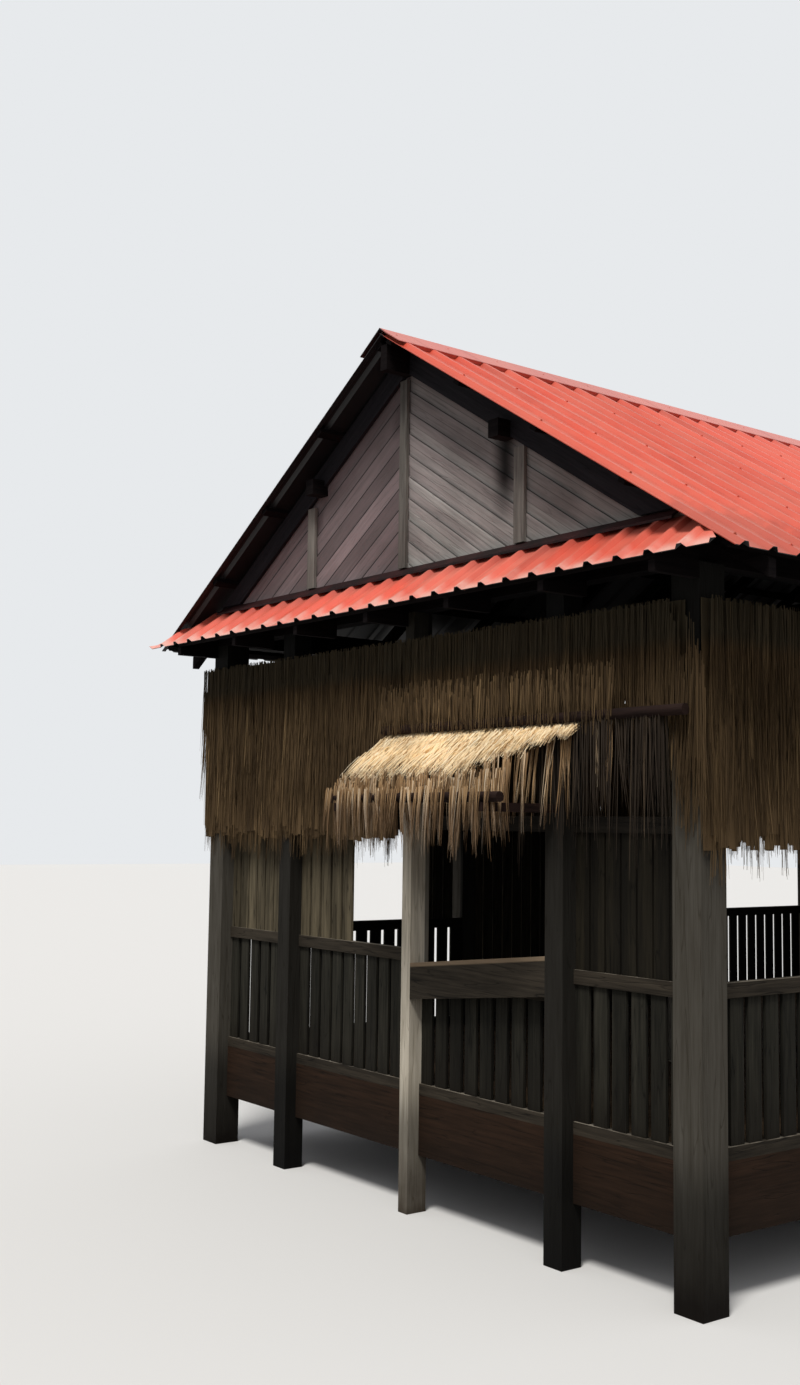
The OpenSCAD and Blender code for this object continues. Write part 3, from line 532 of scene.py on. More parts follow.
def sheetFinish(name, onPent=False):
    material, tree, place = newMaterial(name + "Sheet", 0.35)
    values = sheet[name]
    split = axes(tree, place)
    if onPent:
        across, fall, start = split["X"], split["Y"], eaveX
    else:
        across, fall, start = split["Y"], away(tree, split["X"]), vergeOut - frontY
    faded = remap(tree, noise(tree, place, 1.3, 5.0, 0.6), 0.35, 0.7)
    colour = mixColour(tree, times(tree, faded, 0.5), values["coat"], values["faded"])
    number = ratio(tree, plus(tree, across, start), ribPitch * sheet["lapEvery"])
    each = toneOf(tree, compute(tree, "FLOOR", number))
    colour = shadeBy(tree, colour, remap(tree, each, 0.0, 1.0, 0.92, 1.06))
    # Painted sheen: paler towards the rear
    distance = remap(tree, split["Y"], frontY, rearY, 0.0, values["far"], smooth=True)
    colour = mixColour(tree, distance, colour, sheet["farSheenColour"])
    streak = useGroup(tree, streakGroup, {
        "Vector": joinAxes(tree, fall, across), "Stretch": (0.5, 11.0, 1.0), "Low": 0.5, "High": 0.75})
    colour = mixColour(tree, times(tree, streak["Mask"], 0.45), colour, sheet["grime"])
    if onPent:
        colour = pentShades(tree, colour, place, split)
    else:
        colour = slopeGrime(tree, colour, place, split, fall)
    dust = useGroup(tree, dustGroup, {"Vector": place, "Scale": 2.6, "Amount": 0.3})
    colour = mixColour(tree, dust["Mask"], colour, sheet["dust"])
    # Painted shade on the underside, left off the closures
    if "skipUnderShade" not in values:
        colour = mixColour(tree, paintedUndersideShade(tree, split, onPent), colour, sheet["back"])
    roughness = remap(tree, faded, 0.0, 1.0, 0.4, 0.58)
    return dress(material, colour, roughness, noise(tree, place, 3.5, 2.0), 0.25, 0.01)


# The flashing's dark coat is partly painted shade
flashing = {"coat": (48, 24, 24), "grime": (22, 16, 16)}


def flashingFinish():
    material, tree, place = newMaterial("flashing")
    patch = noise(tree, place, 6.0, 5.0)
    grimy = remap(tree, patch, 0.4, 0.65)
    colour = mixColour(tree, grimy, flashing["coat"], flashing["grime"])
    return dress(material, colour, 0.6, patch, 0.2)


# Dry grass: each strand has its own tone, carried by the attribute that its tree writes
grass = {
    "wall": {"deep": (62, 49, 34), "body": (108, 88, 62), "pale": (156, 131, 94), "paleFrom": 0.8,
             "top": (70, 65, 52), "topShadeFrom": 2.93},
    # The awning's near-white straw is partly painted sunlight, partly fresher straw
    "awning": {"deep": (226, 190, 142), "body": (252, 228, 184), "pale": (255, 243, 214), "paleFrom": 0.45,
               "low": (184, 160, 132), "lowFrom": 2.34},
    "fringe": {"deep": (84, 60, 40), "body": (196, 161, 118), "pale": (255, 238, 208), "paleFrom": 0.62,
               "low": (196, 194, 200), "lowFrom": 2.3},
    # The mat colour is painted shade: a dark mat that shows as shadow between the awning's locks
    "matting": {"deep": (30, 22, 15), "body": (52, 39, 27), "pale": (84, 64, 44), "paleFrom": 0.9},
    # A darker copy of the grass: painted shade for the locks that hang beside the awning
    "curtain": {"deep": (34, 29, 25), "body": (72, 62, 52), "pale": (128, 110, 88), "paleFrom": 0.85},
}


def grassFinish(name):
    values = grass[name]
    material, tree, place = newMaterial(name + "Grass")
    ramp = tree.nodes.new("ShaderNodeValToRGB")
    feed(tree, addNode(tree, "ShaderNodeAttribute", attribute_name="strandTone")["Fac"], ramp.inputs["Fac"])
    stops = ramp.color_ramp.elements
    stops[0].color = srgb(*values["deep"])
    stops[1].position = values["paleFrom"]
    stops[1].color = srgb(*values["body"])
    last = stops.new(1.0)
    last.color = srgb(*values["pale"])
    patch = noise(tree, vectorMath(tree, "MULTIPLY", place, (2.2, 2.2, 0.8)), 1.0, 3.0)
    colour = shadeBy(tree, ramp.outputs[0], remap(tree, patch, 0.3, 0.7, 0.75, 1.2))
    height = axes(tree, place)["Z"]
    # Painted shade: the upper band of the wall grass, under the eaves, turns a dull olive grey
    if "top" in values:
        upper = remap(tree, height, values["topShadeFrom"], values["topShadeFrom"] + 0.1, 0.0, 0.75, smooth=True)
        colour = mixColour(tree, upper, colour, values["top"])
    if "low" in values:
        lower = remap(tree, height, values["lowFrom"], values["lowFrom"] - 0.12, 0.0, 0.9, smooth=True)
        darker = mixColour(tree, 1.0, colour, values["low"], "MULTIPLY")
        colour = mixColour(tree, lower, colour, darker)
    return dress(material, colour, 0.85, noise(tree, place, 260.0, 2.0), 0.3, 0.001)


screwPaint = {"coat": (222, 104, 84), "rust": (176, 84, 60)}


def screwFinish():
    material, tree, place = newMaterial("screwHeads", 0.35)
    rust = remap(tree, noise(tree, place, 40.0, 3.0), 0.5, 0.7)
    colour = mixColour(tree, rust, screwPaint["coat"], screwPaint["rust"])
    return dress(material, colour, remap(tree, rust, 0.0, 1.0, 0.45, 0.8))


finishes = {name: timberFinish(name) for name in timber}
for name in ("main", "cap", "closure"):
    finishes[name + "Sheet"] = sheetFinish(name)
finishes["pentSheet"] = sheetFinish("pent", onPent=True)
finishes["gable"] = gableFinish()
finishes["flashing"] = flashingFinish()
finishes["screw"] = screwFinish()
for name in grass:
    finishes[name + "Grass"] = grassFinish(name)
print("finishes built:", len(finishes))

nodeFinish = {
    "posts": ["front_posts", "middle_posts", "rear_posts"],
    "floorTimber": ["floor_beams", "floor_joists", "skirt_boards"],
    "floorBoards": ["floor_boards"],
    "roofTimber": ["side_plates", "end_plates", "tie_beams", "king_posts", "ridge_beam", "purlins",
                   "rafters", "roof_battens", "pent_brackets"],
    "darkTrim": ["gable_trims"],
    "flashing": ["cover_strips"],
    "gable": ["front_gable_boards", "rear_gable_boards"],
    "battens": ["gable_battens"],
    "mainSheet": ["main_roof_right", "main_roof_left"],
    "capSheet": ["ridge_cap"],
    "pentSheet": ["front_pent_roof", "rear_pent_roof"],
    "railBoards": ["front_rails", "right_rails", "left_rails", "rear_rails"],
    "wallBoards": ["front_planks", "right_planks", "left_planks", "rear_planks"],
    "slatBoards": ["front_slats", "right_slats", "left_slats"],
    "poles": ["grass_poles", "awning_frame"],
    "wallGrass": ["front_grass_left", "front_grass_right", "right_grass", "left_grass", "rear_grass"],
    "awningGrass": ["awning_grass"],
    "fringeGrass": ["awning_fringe"],
}
for finishName, members in nodeFinish.items():
    for member in members:
        shown = nodes[member]
        if not shown.material_slots:
            shown.data.materials.append(finishes[finishName])
        for holder in shown.material_slots:
            holder.material = finishes[finishName]
print("node finishes assigned")


# Geometry Nodes helpers
def geometryTree(name, inputs):
    shape = {"Geometry": "NodeSocketGeometry"}
    return newTree("GeometryNodeTree", name, {**shape, "Material": "NodeSocketMaterial", **inputs}, shape)


def randomFloat(tree, low, high, seed, owner):
    return addNode(tree, "FunctionNodeRandomValue", {2: low, 3: high, 7: owner, 8: seed},
                   data_type="FLOAT")[1]


def randomVector(tree, low, high, seed, owner):
    return addNode(tree, "FunctionNodeRandomValue", {0: low, 1: high, 7: owner, 8: seed},
                   data_type="FLOAT_VECTOR")[0]


def storeAttribute(tree, shape, name, kind, domain, value):
    return addNode(tree, "GeometryNodeStoreNamedAttribute", {"Geometry": shape, "Name": name, "Value": value},
                   data_type=kind, domain=domain)[0]


def readAttribute(tree, name, kind):
    return addNode(tree, "GeometryNodeInputNamedAttribute", {"Name": name}, data_type=kind)["Attribute"]


def pointRow(tree, count, step, start=origin):
    return addNode(tree, "GeometryNodeMeshLine", {"Count": count, "Start Location": start, "Offset": step},
                   mode="OFFSET")[0]


def rotation(tree, angles):
    return addNode(tree, "FunctionNodeEulerToRotation", {"Euler": angles})[0]


def placeOn(tree, points, shape, turn=None, scale=None):
    return addNode(tree, "GeometryNodeInstanceOnPoints", {
        "Points": points, "Instance": shape, "Rotation": turn, "Scale": scale})[0]


def realized(tree, shape):
    return addNode(tree, "GeometryNodeRealizeInstances", {"Geometry": shape})[0]


def joinShapes(tree, *shapes):
    joined = tree.nodes.new("GeometryNodeJoinGeometry")
    for shape in shapes:
        tree.links.new(shape, joined.inputs[0])
    return joined.outputs[0]


def endTree(tree, given, out, shape):
    # The new shape gets its material and joins the geometry that came in
    dressed = addNode(tree, "GeometryNodeSetMaterial", {"Geometry": shape, "Material": given["Material"]})[0]
    tree.links.new(joinShapes(tree, dressed, given["Geometry"]), out["Geometry"])
    return tree


# Strands hang in locks: the heads of one lock are spread, and its tips gather. Droop is per metre of strand
def makeLockTree():
    tree, given, out = geometryTree("hangingLocks", {
        "Start": origin, "End": (1.0, 0.0, 0.0), "Locks": 20, "Per Lock": 5, "Rows": 1,
        "Row Step": (0.0, 0.0, -0.2), "Crowd": 1.0, "Spread": (0.03, 0.01, 0.02),
        "Shortest": 0.4, "Longest": 0.6, "Uneven": 0.15, "Width": 0.008, "Thickness": 0.003,
        "Segments": 2, "Tip": 0.15, "Twist": 0.9, "Turn": origin, "Last Turn": origin, "Lean": 0.03,
        "Gather": 0.5, "Sway": (0.01, 0.01, 0.0), "Droop": origin, "Seed": 1})

    def seed(step):
        return plus(tree, given["Seed"], float(step))

    def chance(low, high, step, owner):
        return randomFloat(tree, low, high, seed(step), owner)

    def scaled(vector, factor):
        return vectorMath(tree, "SCALE", vector, scale=factor)

    def added(first, second):
        return vectorMath(tree, "ADD", first, second)

    def eitherWay(most, step, owner):
        return randomVector(tree, scaled(most, -1.0), most, seed(step), owner)

    # Each strand's head: its row, its lock's place in the row, and its own place in the lock
    index = addNode(tree, "GeometryNodeInputIndex")[0]
    lock = compute(tree, "FLOOR", ratio(tree, plus(tree, index, 0.5), given["Per Lock"]))
    rowPlace = ratio(tree, plus(tree, lock, 0.5), given["Locks"])
    shift = ratio(tree, chance(-0.5, 0.5, 3, lock), given["Locks"])
    inRow = plus(tree, compute(tree, "FRACT", rowPlace), shift, clamp=True)
    share = compute(tree, "POWER", inRow, given["Crowd"])
    line = scaled(vectorMath(tree, "SUBTRACT", given["End"], given["Start"]), share)
    drop = scaled(given["Row Step"], compute(tree, "FLOOR", rowPlace))
    head = added(added(given["Start"], line), drop)
    offset = eitherWay(given["Spread"], 5, index)
    total = times(tree, times(tree, given["Locks"], given["Per Lock"]), given["Rows"])
    placed = addNode(tree, "GeometryNodeSetPosition", {
        "Geometry": pointRow(tree, total, origin), "Position": added(head, offset)})[0]

    # One strand: a tapering blade that hangs from its head
    blade = addNode(tree, "GeometryNodeMeshCone", {
        "Vertices": 3, "Side Segments": given["Segments"], "Radius Top": given["Tip"],
        "Radius Bottom": 0.5, "Depth": 1.0}, fill_type="NGON")[0]
    hung = addNode(tree, "GeometryNodeTransform", {"Geometry": blade, "Rotation": (math.pi, 0.0, 0.0)})[0]
    height = axes(tree, addNode(tree, "GeometryNodeInputPosition")[0])["Z"]
    strand = storeAttribute(tree, hung, "strandAlong", "FLOAT", "POINT", times(tree, height, -1.0))

    # Its turn, length and girth
    mostLean = joinAxes(tree, given["Lean"], given["Lean"], given["Twist"])
    lean = rotation(tree, eitherWay(mostLean, 11, index))
    change = scaled(vectorMath(tree, "SUBTRACT", given["Last Turn"], given["Turn"]), share)
    wallTurn = rotation(tree, added(given["Turn"], change))
    turn = addNode(tree, "FunctionNodeRotateRotation", {"Rotation": lean, "Rotate By": wallTurn},
                   rotation_space="GLOBAL")[0]
    uneven = times(tree, given["Uneven"], chance(0.0, 1.0, 29, index))
    length = times(tree, chance(given["Shortest"], given["Longest"], 23, lock), minus(tree, 1.0, uneven))
    girth = chance(0.6, 1.5, 31, index)
    width = times(tree, given["Width"], girth)
    size = joinAxes(tree, width, times(tree, given["Thickness"], girth), length)
    blades = placeOn(tree, placed, strand, turn, size)

    # Its tone, and the bend that carries its tip sideways
    ownTone = times(tree, chance(0.0, 1.0, 47, index), 0.65)
    lockTone = times(tree, chance(0.0, 1.0, 53, lock), 0.35)
    toned = storeAttribute(tree, blades, "strandTone", "FLOAT", "INSTANCE", plus(tree, ownTone, lockTone))
    sway = added(eitherWay(given["Sway"], 59, lock), scaled(given["Droop"], length))
    bend = added(sway, scaled(offset, times(tree, given["Gather"], -1.0)))
    bent = storeAttribute(tree, toned, "strandBend", "FLOAT_VECTOR", "INSTANCE", bend)
    along = readAttribute(tree, "strandAlong", "FLOAT")
    curl = scaled(readAttribute(tree, "strandBend", "FLOAT_VECTOR"), compute(tree, "POWER", along, 1.6))
    curled = addNode(tree, "GeometryNodeSetPosition", {"Geometry": realized(tree, bent), "Offset": curl})[0]
    return endTree(tree, given, out, curled)


lockTree = makeLockTree()


def emptyPiece(name):
    piece = bpy.data.objects.new(name, bpy.data.meshes.new(name))
    bpy.context.scene.collection.objects.link(piece)
    return piece


def addTree(piece, tree, values):
    modifier = piece.modifiers.new(tree.name, "NODES")
    modifier.node_group = tree
    names = {item.name: item.identifier for item in tree.interface.items_tree
             if item.item_type == "SOCKET" and item.in_out == "INPUT"}
    for name, value in values.items():
        modifier[names[name]] = value


def finishPiece(piece, slotName, *replaced):
    # The evaluated result becomes the piece's own plain mesh
    bpy.context.view_layer.update()
    graph = bpy.context.evaluated_depsgraph_get()
    mesh = bpy.data.meshes.new_from_object(piece.evaluated_get(graph), preserve_all_data_layers=True,
                                           depsgraph=graph)
    piece.modifiers.clear()
    piece.data = mesh
    for leftover in ("strandAlong", "strandBend"):
        if leftover in mesh.attributes:
            mesh.attributes.remove(mesh.attributes[leftover])
    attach(piece, "root")
    if replaced:
        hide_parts(*replaced)
    triangles = sum(len(face.vertices) - 2 for face in mesh.polygons)
    print(piece.name, "has", triangles, "triangles")


# Grass walls: a mat of wide leaves, and rows of locks over it, each row lower and nearer the wall
wallGrass = {
    "top": 3.178, "end": 1.96, "rows": 6, "outer": 0.06, "inner": 0.018, "length": 0.5, "ragged": 0.09,
    "lockStep": 0.03, "loose": 0.012, "matOut": 0.018, "matStep": 0.03, "matLap": 0.009, "matSeed": 500,
    "matShortest": 0.86, "matLongest": 0.94,  # as shares of the wall's grass
    "mat": {"Per Lock": 1, "Rows": 2, "Uneven": 0.0, "Width": 0.075, "Thickness": 0.005, "Tip": 0.4,
            "Twist": 0.08, "Lean": 0.003, "Gather": 0.0},
    "locks": {"Per Lock": 9, "Width": 0.0058, "Thickness": 0.0032, "Lean": 0.035, "Gather": 0.25},
}


def hangWall(piece, start, end, outward, seed, bottom=wallGrass["end"], rows=wallGrass["rows"],
             top=wallGrass["top"], loose=wallGrass["loose"], mat=True):
    # start and end are (x, y) on the wall's face, and outward points away from the room
    values = wallGrass
    run = (Vector(end) - Vector(start)).length
    out = Vector((*outward, 0.0))
    side = Vector((abs(outward[1]), abs(outward[0]), 0.0))
    depth = Vector((abs(outward[0]), abs(outward[1]), 0.0))
    up = Vector((0.0, 0.0, 1.0))
    turn = up * (math.pi / 2 if outward[0] else 0.0)
    first = Vector((*start, top))
    last = Vector((*end, top))
    tall = top - bottom
    common = {"Material": finishes["wallGrass"], "Turn": turn, "Last Turn": turn}
    if mat:
        back = out * values["matOut"]
        addTree(piece, lockTree, {
            **common, **values["mat"], "Start": first + back, "End": last + back,
            "Locks": int(run / values["matStep"]), "Row Step": out * -values["matLap"],
            "Shortest": tall * values["matShortest"], "Longest": tall * values["matLongest"],
            "Spread": side * 0.01, "Sway": side * 0.01, "Seed": seed + values["matSeed"]})
    front = out * values["outer"]
    drop = (tall - values["length"]) / max(1, rows - 1)
    inwards = (values["outer"] - values["inner"]) / max(1, rows - 1)
    addTree(piece, lockTree, {
        **common, **values["locks"], "Start": first + front, "End": last + front,
        "Locks": max(1, int(run / values["lockStep"])), "Rows": rows, "Row Step": out * -inwards - up * drop,
        "Shortest": values["length"] - values["ragged"], "Longest": values["length"] + values["ragged"],
        "Spread": side * 0.022 + depth * 0.008 + up * loose, "Sway": side * 0.025 + depth * 0.006,
        "Seed": seed})


leftPartLow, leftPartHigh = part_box("front_grass_left")
awningLow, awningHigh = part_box("awning_grass")
cornerX = halfWidth
seamLeft = cornerX - 0.115
# Loose locks that cover the seam at the corner, with where each run starts and ends
cornerSeams = (
    (seamLeft, cornerX + 0.062, {"seed": 7, "bottom": 2.06, "rows": 5, "top": 2.9, "loose": 0.1}),
    (seamLeft - 0.01, seamLeft + 0.03, {"seed": 9, "bottom": 2.3, "rows": 3, "top": 3.12, "loose": 0.05}),
    (cornerX - 0.03, cornerX, {"seed": 11, "bottom": 2.3, "rows": 3, "top": 3.08, "loose": 0.05}),
)

# Beside the awning thin locks hang from the wall pole, darker with painted shade, strands pass over it, and
# two locks are pale
curtain = {
    "poleOut": 0.097, "drop": 0.05,
    "hanging": {"Locks": 42, "Per Lock": 7, "Spread": (0.03, 0.02, 0.012), "Shortest": 0.36, "Longest": 0.8,
                "Uneven": 0.4, "Width": 0.0062, "Tip": 0.1, "Gather": 0.2, "Sway": (0.03, 0.02, 0.0),
                "Seed": 71},
    "overPole": {"Locks": 84, "Per Lock": 8, "Crowd": 1.15, "Spread": (0.03, 0.004, 0.07),
                 "Shortest": 0.18, "Longest": 0.26, "Uneven": 0.25, "Width": 0.0064, "Lean": 0.02,
                 "Gather": 0.3, "Sway": (0.02, 0.0, 0.0), "Seed": 73},
    "pale": {"Locks": 2, "Per Lock": 8, "Spread": (0.012, 0.01, 0.006), "Shortest": 0.28, "Longest": 0.34,
             "Uneven": 0.3, "Width": 0.0056, "Thickness": 0.0028, "Lean": 0.05, "Gather": 0.7,
             "Sway": (0.03, 0.02, 0.0), "Seed": 151},
}


def hangCurtain(piece):
    poleY = frontY - curtain["poleOut"]
    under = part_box("awning_frame")[1].z - curtain["drop"]
    edge = awningHigh.x
    for part, finish, start, end, outY, level in (
            ("hanging", "curtainGrass", edge - 0.25, cornerX - 0.12, poleY, under),
            ("overPole", "wallGrass", awningLow.x, edge + 0.42, poleY - 0.031, 2.86),
            ("pale", "fringeGrass", edge + 0.24, edge + 0.44, poleY, under + 0.01)):
        addTree(piece, lockTree, {
            **curtain[part], "Material": finishes[finish], "Start": (start, outY, level),
            "End": (end, outY, level)})


def hangFront():
    piece = emptyPiece("frontWallGrass")
    hangWall(piece, (leftPartLow.x + 0.02, frontY), (leftPartHigh.x, frontY), (0, -1), 3)
    hangWall(piece, (leftPartHigh.x, frontY), (seamLeft, frontY), (0, -1), 5, bottom=2.62, rows=4)
    for start, end, values in cornerSeams:
        hangWall(piece, (start, frontY), (end, frontY), (0, -1), mat=False, **values)
    hangCurtain(piece)
    finishPiece(piece, "wall_grass", "front_grass_left", "front_grass_right")


hangFront()
# The other walls: where each starts and ends, which way it faces, its seed and the node that it stands for
plainWalls = {
    "rightWallGrass": ((halfWidth, frontY + 0.012), (halfWidth, rearY), (1, 0), 13, "right_grass"),
    "leftWallGrass": ((-halfWidth, frontY), (-halfWidth, rearY), (-1, 0), 17, "left_grass"),
    "rearWallGrass": ((-halfWidth - 0.05, rearY), (halfWidth + 0.05, rearY), (0, 1), 19, "rear_grass"),
}
for name, (start, end, outward, wallSeed, member) in plainWalls.items():
    wall = emptyPiece(name)
    hangWall(wall, start, end, outward, wallSeed)
    finishPiece(wall, "wall_grass", member)
print("grass walls hung")


# Awning: dark mats of painted shade, short pale locks over its upper part, and long locks that hang below and
# over its edge
awning = {
    "rise": 0.33, "width": 0.0056, "thickness": 0.0028,
    # Lines of hanging locks: where the first lies down the slope and how far the rest spread, at each end
    "lines": 6, "leftEnd": (0.52, 0.44), "rightEnd": (0.3, 0.66), "locks": 11, "moreLocks": 4, "tips": 1.97,
    # The pale part, painted sunlight, grows narrower towards the corner: from, to, its share of the slope,
    # and its locks.
    # Each part's locks are shorter than the last one's
    "pale": ((-0.05, 0.98, 0.4, 70), (0.94, 1.12, 0.3, 14), (1.08, 1.24, 0.2, 12), (1.2, 1.36, 0.11, 12),
             (1.32, 1.51, 0.04, 12)),
    "paleShortest": 0.11, "shortestLess": 0.015, "paleLongest": 0.21, "longestLess": 0.025,
    "matLeaves": {"Per Lock": 1, "Rows": 2, "Row Step": (0.0, 0.0, -0.012), "Spread": (0.01, 0.0, 0.0),
                  "Uneven": 0.0, "Width": 0.07, "Thickness": 0.008, "Tip": 0.3, "Twist": 0.1,
                  "Lean": 0.02, "Gather": 0.0, "Sway": (0.01, 0.0, 0.0), "Seed": 301},
    "paleLocks": {"Per Lock": 9, "Rows": 6, "Spread": (0.026, 0.02, 0.006), "Uneven": 0.35,
                  "Lean": 0.12, "Gather": 0.35, "Sway": (0.02, 0.0, 0.006), "Droop": (0.0, 0.0, -0.15)},
    "hangingLocks": {"Per Lock": 11, "Segments": 4, "Spread": (0.017, 0.008, 0.012), "Uneven": 0.3,
                     "Lean": 0.03, "Gather": 0.8, "Sway": (0.035, 0.006, 0.0), "Tip": 0.08,
                     "Droop": (-0.02, 0.13, 0.0)},
    "cornerLocks": {"Locks": 6, "Per Lock": 7, "Segments": 4, "Spread": (0.012, 0.01, 0.006),
                    "Shortest": 0.18, "Longest": 0.52, "Uneven": 0.35, "Lean": 0.03, "Gather": 0.8,
                    "Tip": 0.08, "Sway": (0.03, 0.02, 0.0), "Droop": (-0.02, 0.1, 0.0)},
}


def layAwning():
    piece = emptyPiece("awningGrass")
    left, right = awningLow.x, awningHigh.x
    wallSide, edge = awningHigh.y, awningLow.y
    top = awningHigh.z
    slope = Vector((0.0, edge - wallSide, -awning["rise"]))
    pitch = math.atan2(awning["rise"], wallSide - edge)
    turn = Vector((pitch - math.pi / 2, 0.0, 0.0))
    common = {"Material": finishes["awningGrass"], "Width": awning["width"],
              "Thickness": awning["thickness"], "Turn": turn, "Last Turn": turn}
    fringe = {**common, "Material": finishes["fringeGrass"]}

    # Mats of painted shade: from, to, the share of the slope that they cover, and their leaves
    for start, end, share, locks in ((left + 0.03, 1.0, 0.56, 46), (0.98, right - 0.06, 0.3, 14)):
        addTree(piece, lockTree, {
            **common, **awning["matLeaves"], "Material": finishes["mattingGrass"], "Locks": locks,
            "Start": (start, wallSide, top - 0.03), "End": (end, wallSide, top - 0.03),
            "Shortest": slope.length * (share - 0.08), "Longest": slope.length * share})

    rows = awning["paleLocks"]["Rows"]
    for number, (start, end, share, locks) in enumerate(awning["pale"]):
        addTree(piece, lockTree, {
            **common, **awning["paleLocks"], "Start": (start, wallSide - 0.004, top - 0.012),
            "End": (end, wallSide - 0.004, top - 0.012), "Locks": locks,
            "Row Step": slope * (share / (rows - 1)),
            "Shortest": awning["paleShortest"] - awning["shortestLess"] * number,
            "Longest": awning["paleLongest"] - awning["longestLess"] * number, "Seed": 101 + number})

    # Below it separate locks hang from lines across the slope; the last line is near the awning's edge
    leftFrom, leftSpread = awning["leftEnd"]
    rightFrom, rightSpread = awning["rightEnd"]
    for line in range(awning["lines"]):
        share = line / (awning["lines"] - 1)
        first = Vector((left + 0.02, wallSide, top - 0.016)) + slope * (leftFrom + leftSpread * share)
        last = Vector((right - 0.02, wallSide, top - 0.016)) + slope * (rightFrom + rightSpread * share)
        reach = (first.z + last.z) / 2 - awning["tips"]
        addTree(piece, lockTree, {
            **fringe, **awning["hangingLocks"], "Start": first, "End": last,
            "Locks": awning["locks"] + awning["moreLocks"] * line, "Shortest": reach * 0.5,
            "Longest": reach + 0.04 * share, "Turn": turn * 0.16, "Last Turn": turn * 0.16,
            "Seed": 111 + line})

    # Towards the corner the locks hang from the wall side, steeper and shorter
    for layer in range(3):
        drop = 0.02 * layer
        addTree(piece, lockTree, {
            **fringe, **awning["cornerLocks"], "Start": (right - 0.3, wallSide - 0.05, top - 0.05 - drop),
            "End": (right + 0.16, wallSide - 0.03, top - 0.03 - drop), "Turn": turn * 0.35,
            "Last Turn": turn * 0.08, "Seed": 131 + layer})
    finishPiece(piece, "awning_grass", "awning_grass", "awning_fringe")


layAwning()
print("awning laid")


# Ribs of the main sheets: how many whole steps fit the sheet, and where the first rib lies
sheetLength = wallLength + 2 * vergeOut
ribMargin = 0.064
ribs = int((sheetLength - ribMargin) / ribPitch)
firstRib = frontY - vergeOut + (sheetLength - ribs * ribPitch) / 2


def slopeAxes(side):
    # Down the slope and out of it, on the right (1) or the left (-1)
    down = Vector((math.cos(roofPitch) * side, 0.0, -math.sin(roofPitch)))
    out = Vector((math.sin(roofPitch) * side, 0.0, math.cos(roofPitch)))
    return down, out


# Ridge closures: formed blocks between the ribs, under both edges of the cap
closures = {"height": 0.0215, "foot": 0.125, "top": 0.163, "depth": 0.03, "back": 0.019}


def makeClosureTree():
    tree, given, out = geometryTree("ridgeClosures", {
        "Start": origin, "Step": (0.0, 0.19, 0.0), "Count": 10, "Turn": origin, "Foot": 0.12,
        "Top": 0.16, "Height": 0.02, "Depth": 0.03})
    size = joinAxes(tree, given["Depth"], given["Foot"], given["Height"])
    block = addNode(tree, "GeometryNodeMeshCube", {"Size": size})[0]
    place = axes(tree, addNode(tree, "GeometryNodeInputPosition")[0])
    flare = ratio(tree, given["Top"], given["Foot"])
    widened = times(tree, place["Y"], minus(tree, flare, 1.0))
    upper = compute(tree, "GREATER_THAN", place["Z"], 0.0)
    shaped = addNode(tree, "GeometryNodeSetPosition", {
        "Geometry": block, "Offset": joinAxes(tree, y=times(tree, widened, upper))})[0]
    points = pointRow(tree, given["Count"], given["Step"], given["Start"])
    placed = placeOn(tree, points, shaped, rotation(tree, given["Turn"]))
    return endTree(tree, given, out, realized(tree, placed))


closureTree = makeClosureTree()


def closeRidge():
    piece = emptyPiece("ridgeClosures")
    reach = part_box("ridge_cap")[1].x / math.cos(roofPitch) - closures["back"]
    for side in (1, -1):
        down, out = slopeAxes(side)
        start = Vector((0.0, firstRib + ribPitch / 2, ridgeZ)) + down * reach
        start = start - out * (closures["height"] / 2)
        addTree(piece, closureTree, {
            "Material": finishes["closureSheet"], "Start": start, "Step": (0.0, ribPitch, 0.0), "Count": ribs,
            "Turn": (0.0, roofPitch * side, 0.0), "Foot": closures["foot"], "Top": closures["top"],
            "Height": closures["height"], "Depth": closures["depth"]})
    finishPiece(piece, "red_sheet")


closeRidge()
print("ridge closed")


# Roof screws on every second rib, in rows down each slope
screws = {"washer": 0.009, "head": 0.005, "height": 0.005, "rows": 5, "firstRow": 0.085, "lastRow": 0.075}


def makeScrewTree():
    tree, given, out = geometryTree("screwRows", {
        "Start": origin, "Along": (0.0, 0.19, 0.0), "Columns": 10, "Down": (0.5, 0.0, -0.3), "Rows": 5,
        "Turn": origin, "Washer": 0.011, "Head": 0.006, "Height": 0.007})
    row = pointRow(tree, given["Columns"], given["Along"], given["Start"])
    ladder = pointRow(tree, given["Rows"], given["Down"])
    points = realized(tree, placeOn(tree, ladder, row))
    washer = addNode(tree, "GeometryNodeMeshCylinder", {
        "Vertices": 10, "Radius": given["Washer"], "Depth": 0.002}, fill_type="NGON")[0]
    head = addNode(tree, "GeometryNodeMeshCylinder", {
        "Vertices": 6, "Radius": given["Head"], "Depth": given["Height"]}, fill_type="NGON")[0]
    lifted = addNode(tree, "GeometryNodeTransform", {"Geometry": head, "Translation": (0.0, 0.0, 0.004)})[0]
    screw = joinShapes(tree, washer, lifted)
    placed = placeOn(tree, points, screw, rotation(tree, given["Turn"]))
    return endTree(tree, given, out, realized(tree, placed))


screwTree = makeScrewTree()


def roofScrews():
    piece = emptyPiece("roofScrews")
    rowStep = (slopeLength - screws["firstRow"] - screws["lastRow"]) / (screws["rows"] - 1)
    for side in (1, -1):
        down, out = slopeAxes(side)
        start = Vector((0.0, firstRib, ridgeZ)) + down * screws["firstRow"] + out * 0.001
        addTree(piece, screwTree, {
            "Material": finishes["screw"], "Start": start, "Along": (0.0, ribPitch * 2, 0.0),
            "Columns": ribs // 2 + 1, "Down": down * rowStep, "Rows": screws["rows"],
            "Turn": (0.0, roofPitch * side, 0.0),
            "Washer": screws["washer"], "Head": screws["head"], "Height": screws["height"]})
    finishPiece(piece, "red_sheet")


roofScrews()
print("roof screws set")


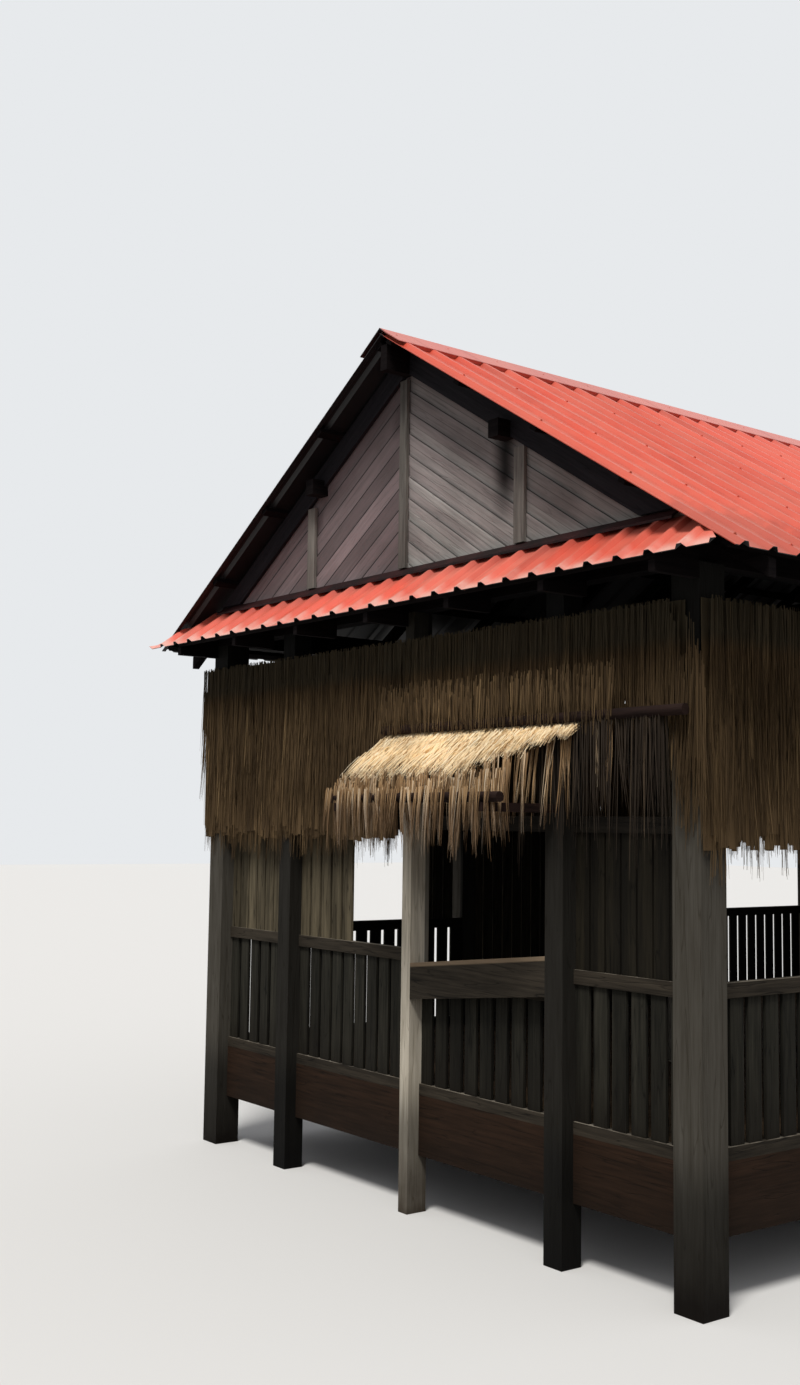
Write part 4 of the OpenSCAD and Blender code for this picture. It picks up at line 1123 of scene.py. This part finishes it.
# Stage: pale floor, plain backdrop and soft light
stage = {
    "floor": (226, 226, 224), "bounce": (84, 78, 70), "reach": 60.0, "level": -0.001,
    "backdrop": (0.80, 0.82, 0.84, 1.0), "skyLight": (0.42, 0.42, 0.4368, 1.0),
    "sun": 2.5, "sunAngle": 16.0, "sunColour": (1.0, 0.97, 0.93), "sunFrom": (0.42, -0.62, 1.25),
}


def makeFloor():
    reach, level = stage["reach"], stage["level"]
    corners = [(-reach, -reach, level), (reach, -reach, level), (reach, reach, level), (-reach, reach, level)]
    mesh = bpy.data.meshes.new("floor")
    mesh.from_pydata(corners, [], [(0, 1, 2, 3)])
    floor = bpy.data.objects.new("floor", mesh)
    bpy.context.scene.collection.objects.link(floor)
    material, tree, place = newMaterial("floorPaint", 0.1)
    path = addNode(tree, "ShaderNodeLightPath")
    seen = compute(tree, "MAXIMUM", path["Is Camera Ray"], path["Is Glossy Ray"])
    colour = mixColour(tree, seen, stage["bounce"], stage["floor"])
    mesh.materials.append(dress(material, colour, 0.9))


def makeWorld():
    world = bpy.data.worlds.new("studio")
    world.use_nodes = True
    bpy.context.scene.world = world
    tree = world.node_tree
    shader = tree.nodes["Background"]
    path = addNode(tree, "ShaderNodeLightPath")
    seen = compute(tree, "MAXIMUM", path["Is Camera Ray"], path["Is Glossy Ray"])
    seen = compute(tree, "MAXIMUM", seen, path["Is Transmission Ray"])
    tree.links.new(mixColour(tree, seen, stage["skyLight"], stage["backdrop"]), shader.inputs["Color"])
    shader.inputs["Strength"].default_value = 1.0


def makeLamp():
    lamp = bpy.data.lights.new("key", "SUN")
    lamp.energy = stage["sun"]
    lamp.angle = math.radians(stage["sunAngle"])
    lamp.color = stage["sunColour"]
    key = bpy.data.objects.new("key", lamp)
    bpy.context.scene.collection.objects.link(key)
    key.rotation_mode = "QUATERNION"
    key.rotation_quaternion = Vector(stage["sunFrom"]).to_track_quat("Z", "Y")


makeFloor()
makeWorld()
makeLamp()
print("stage set")
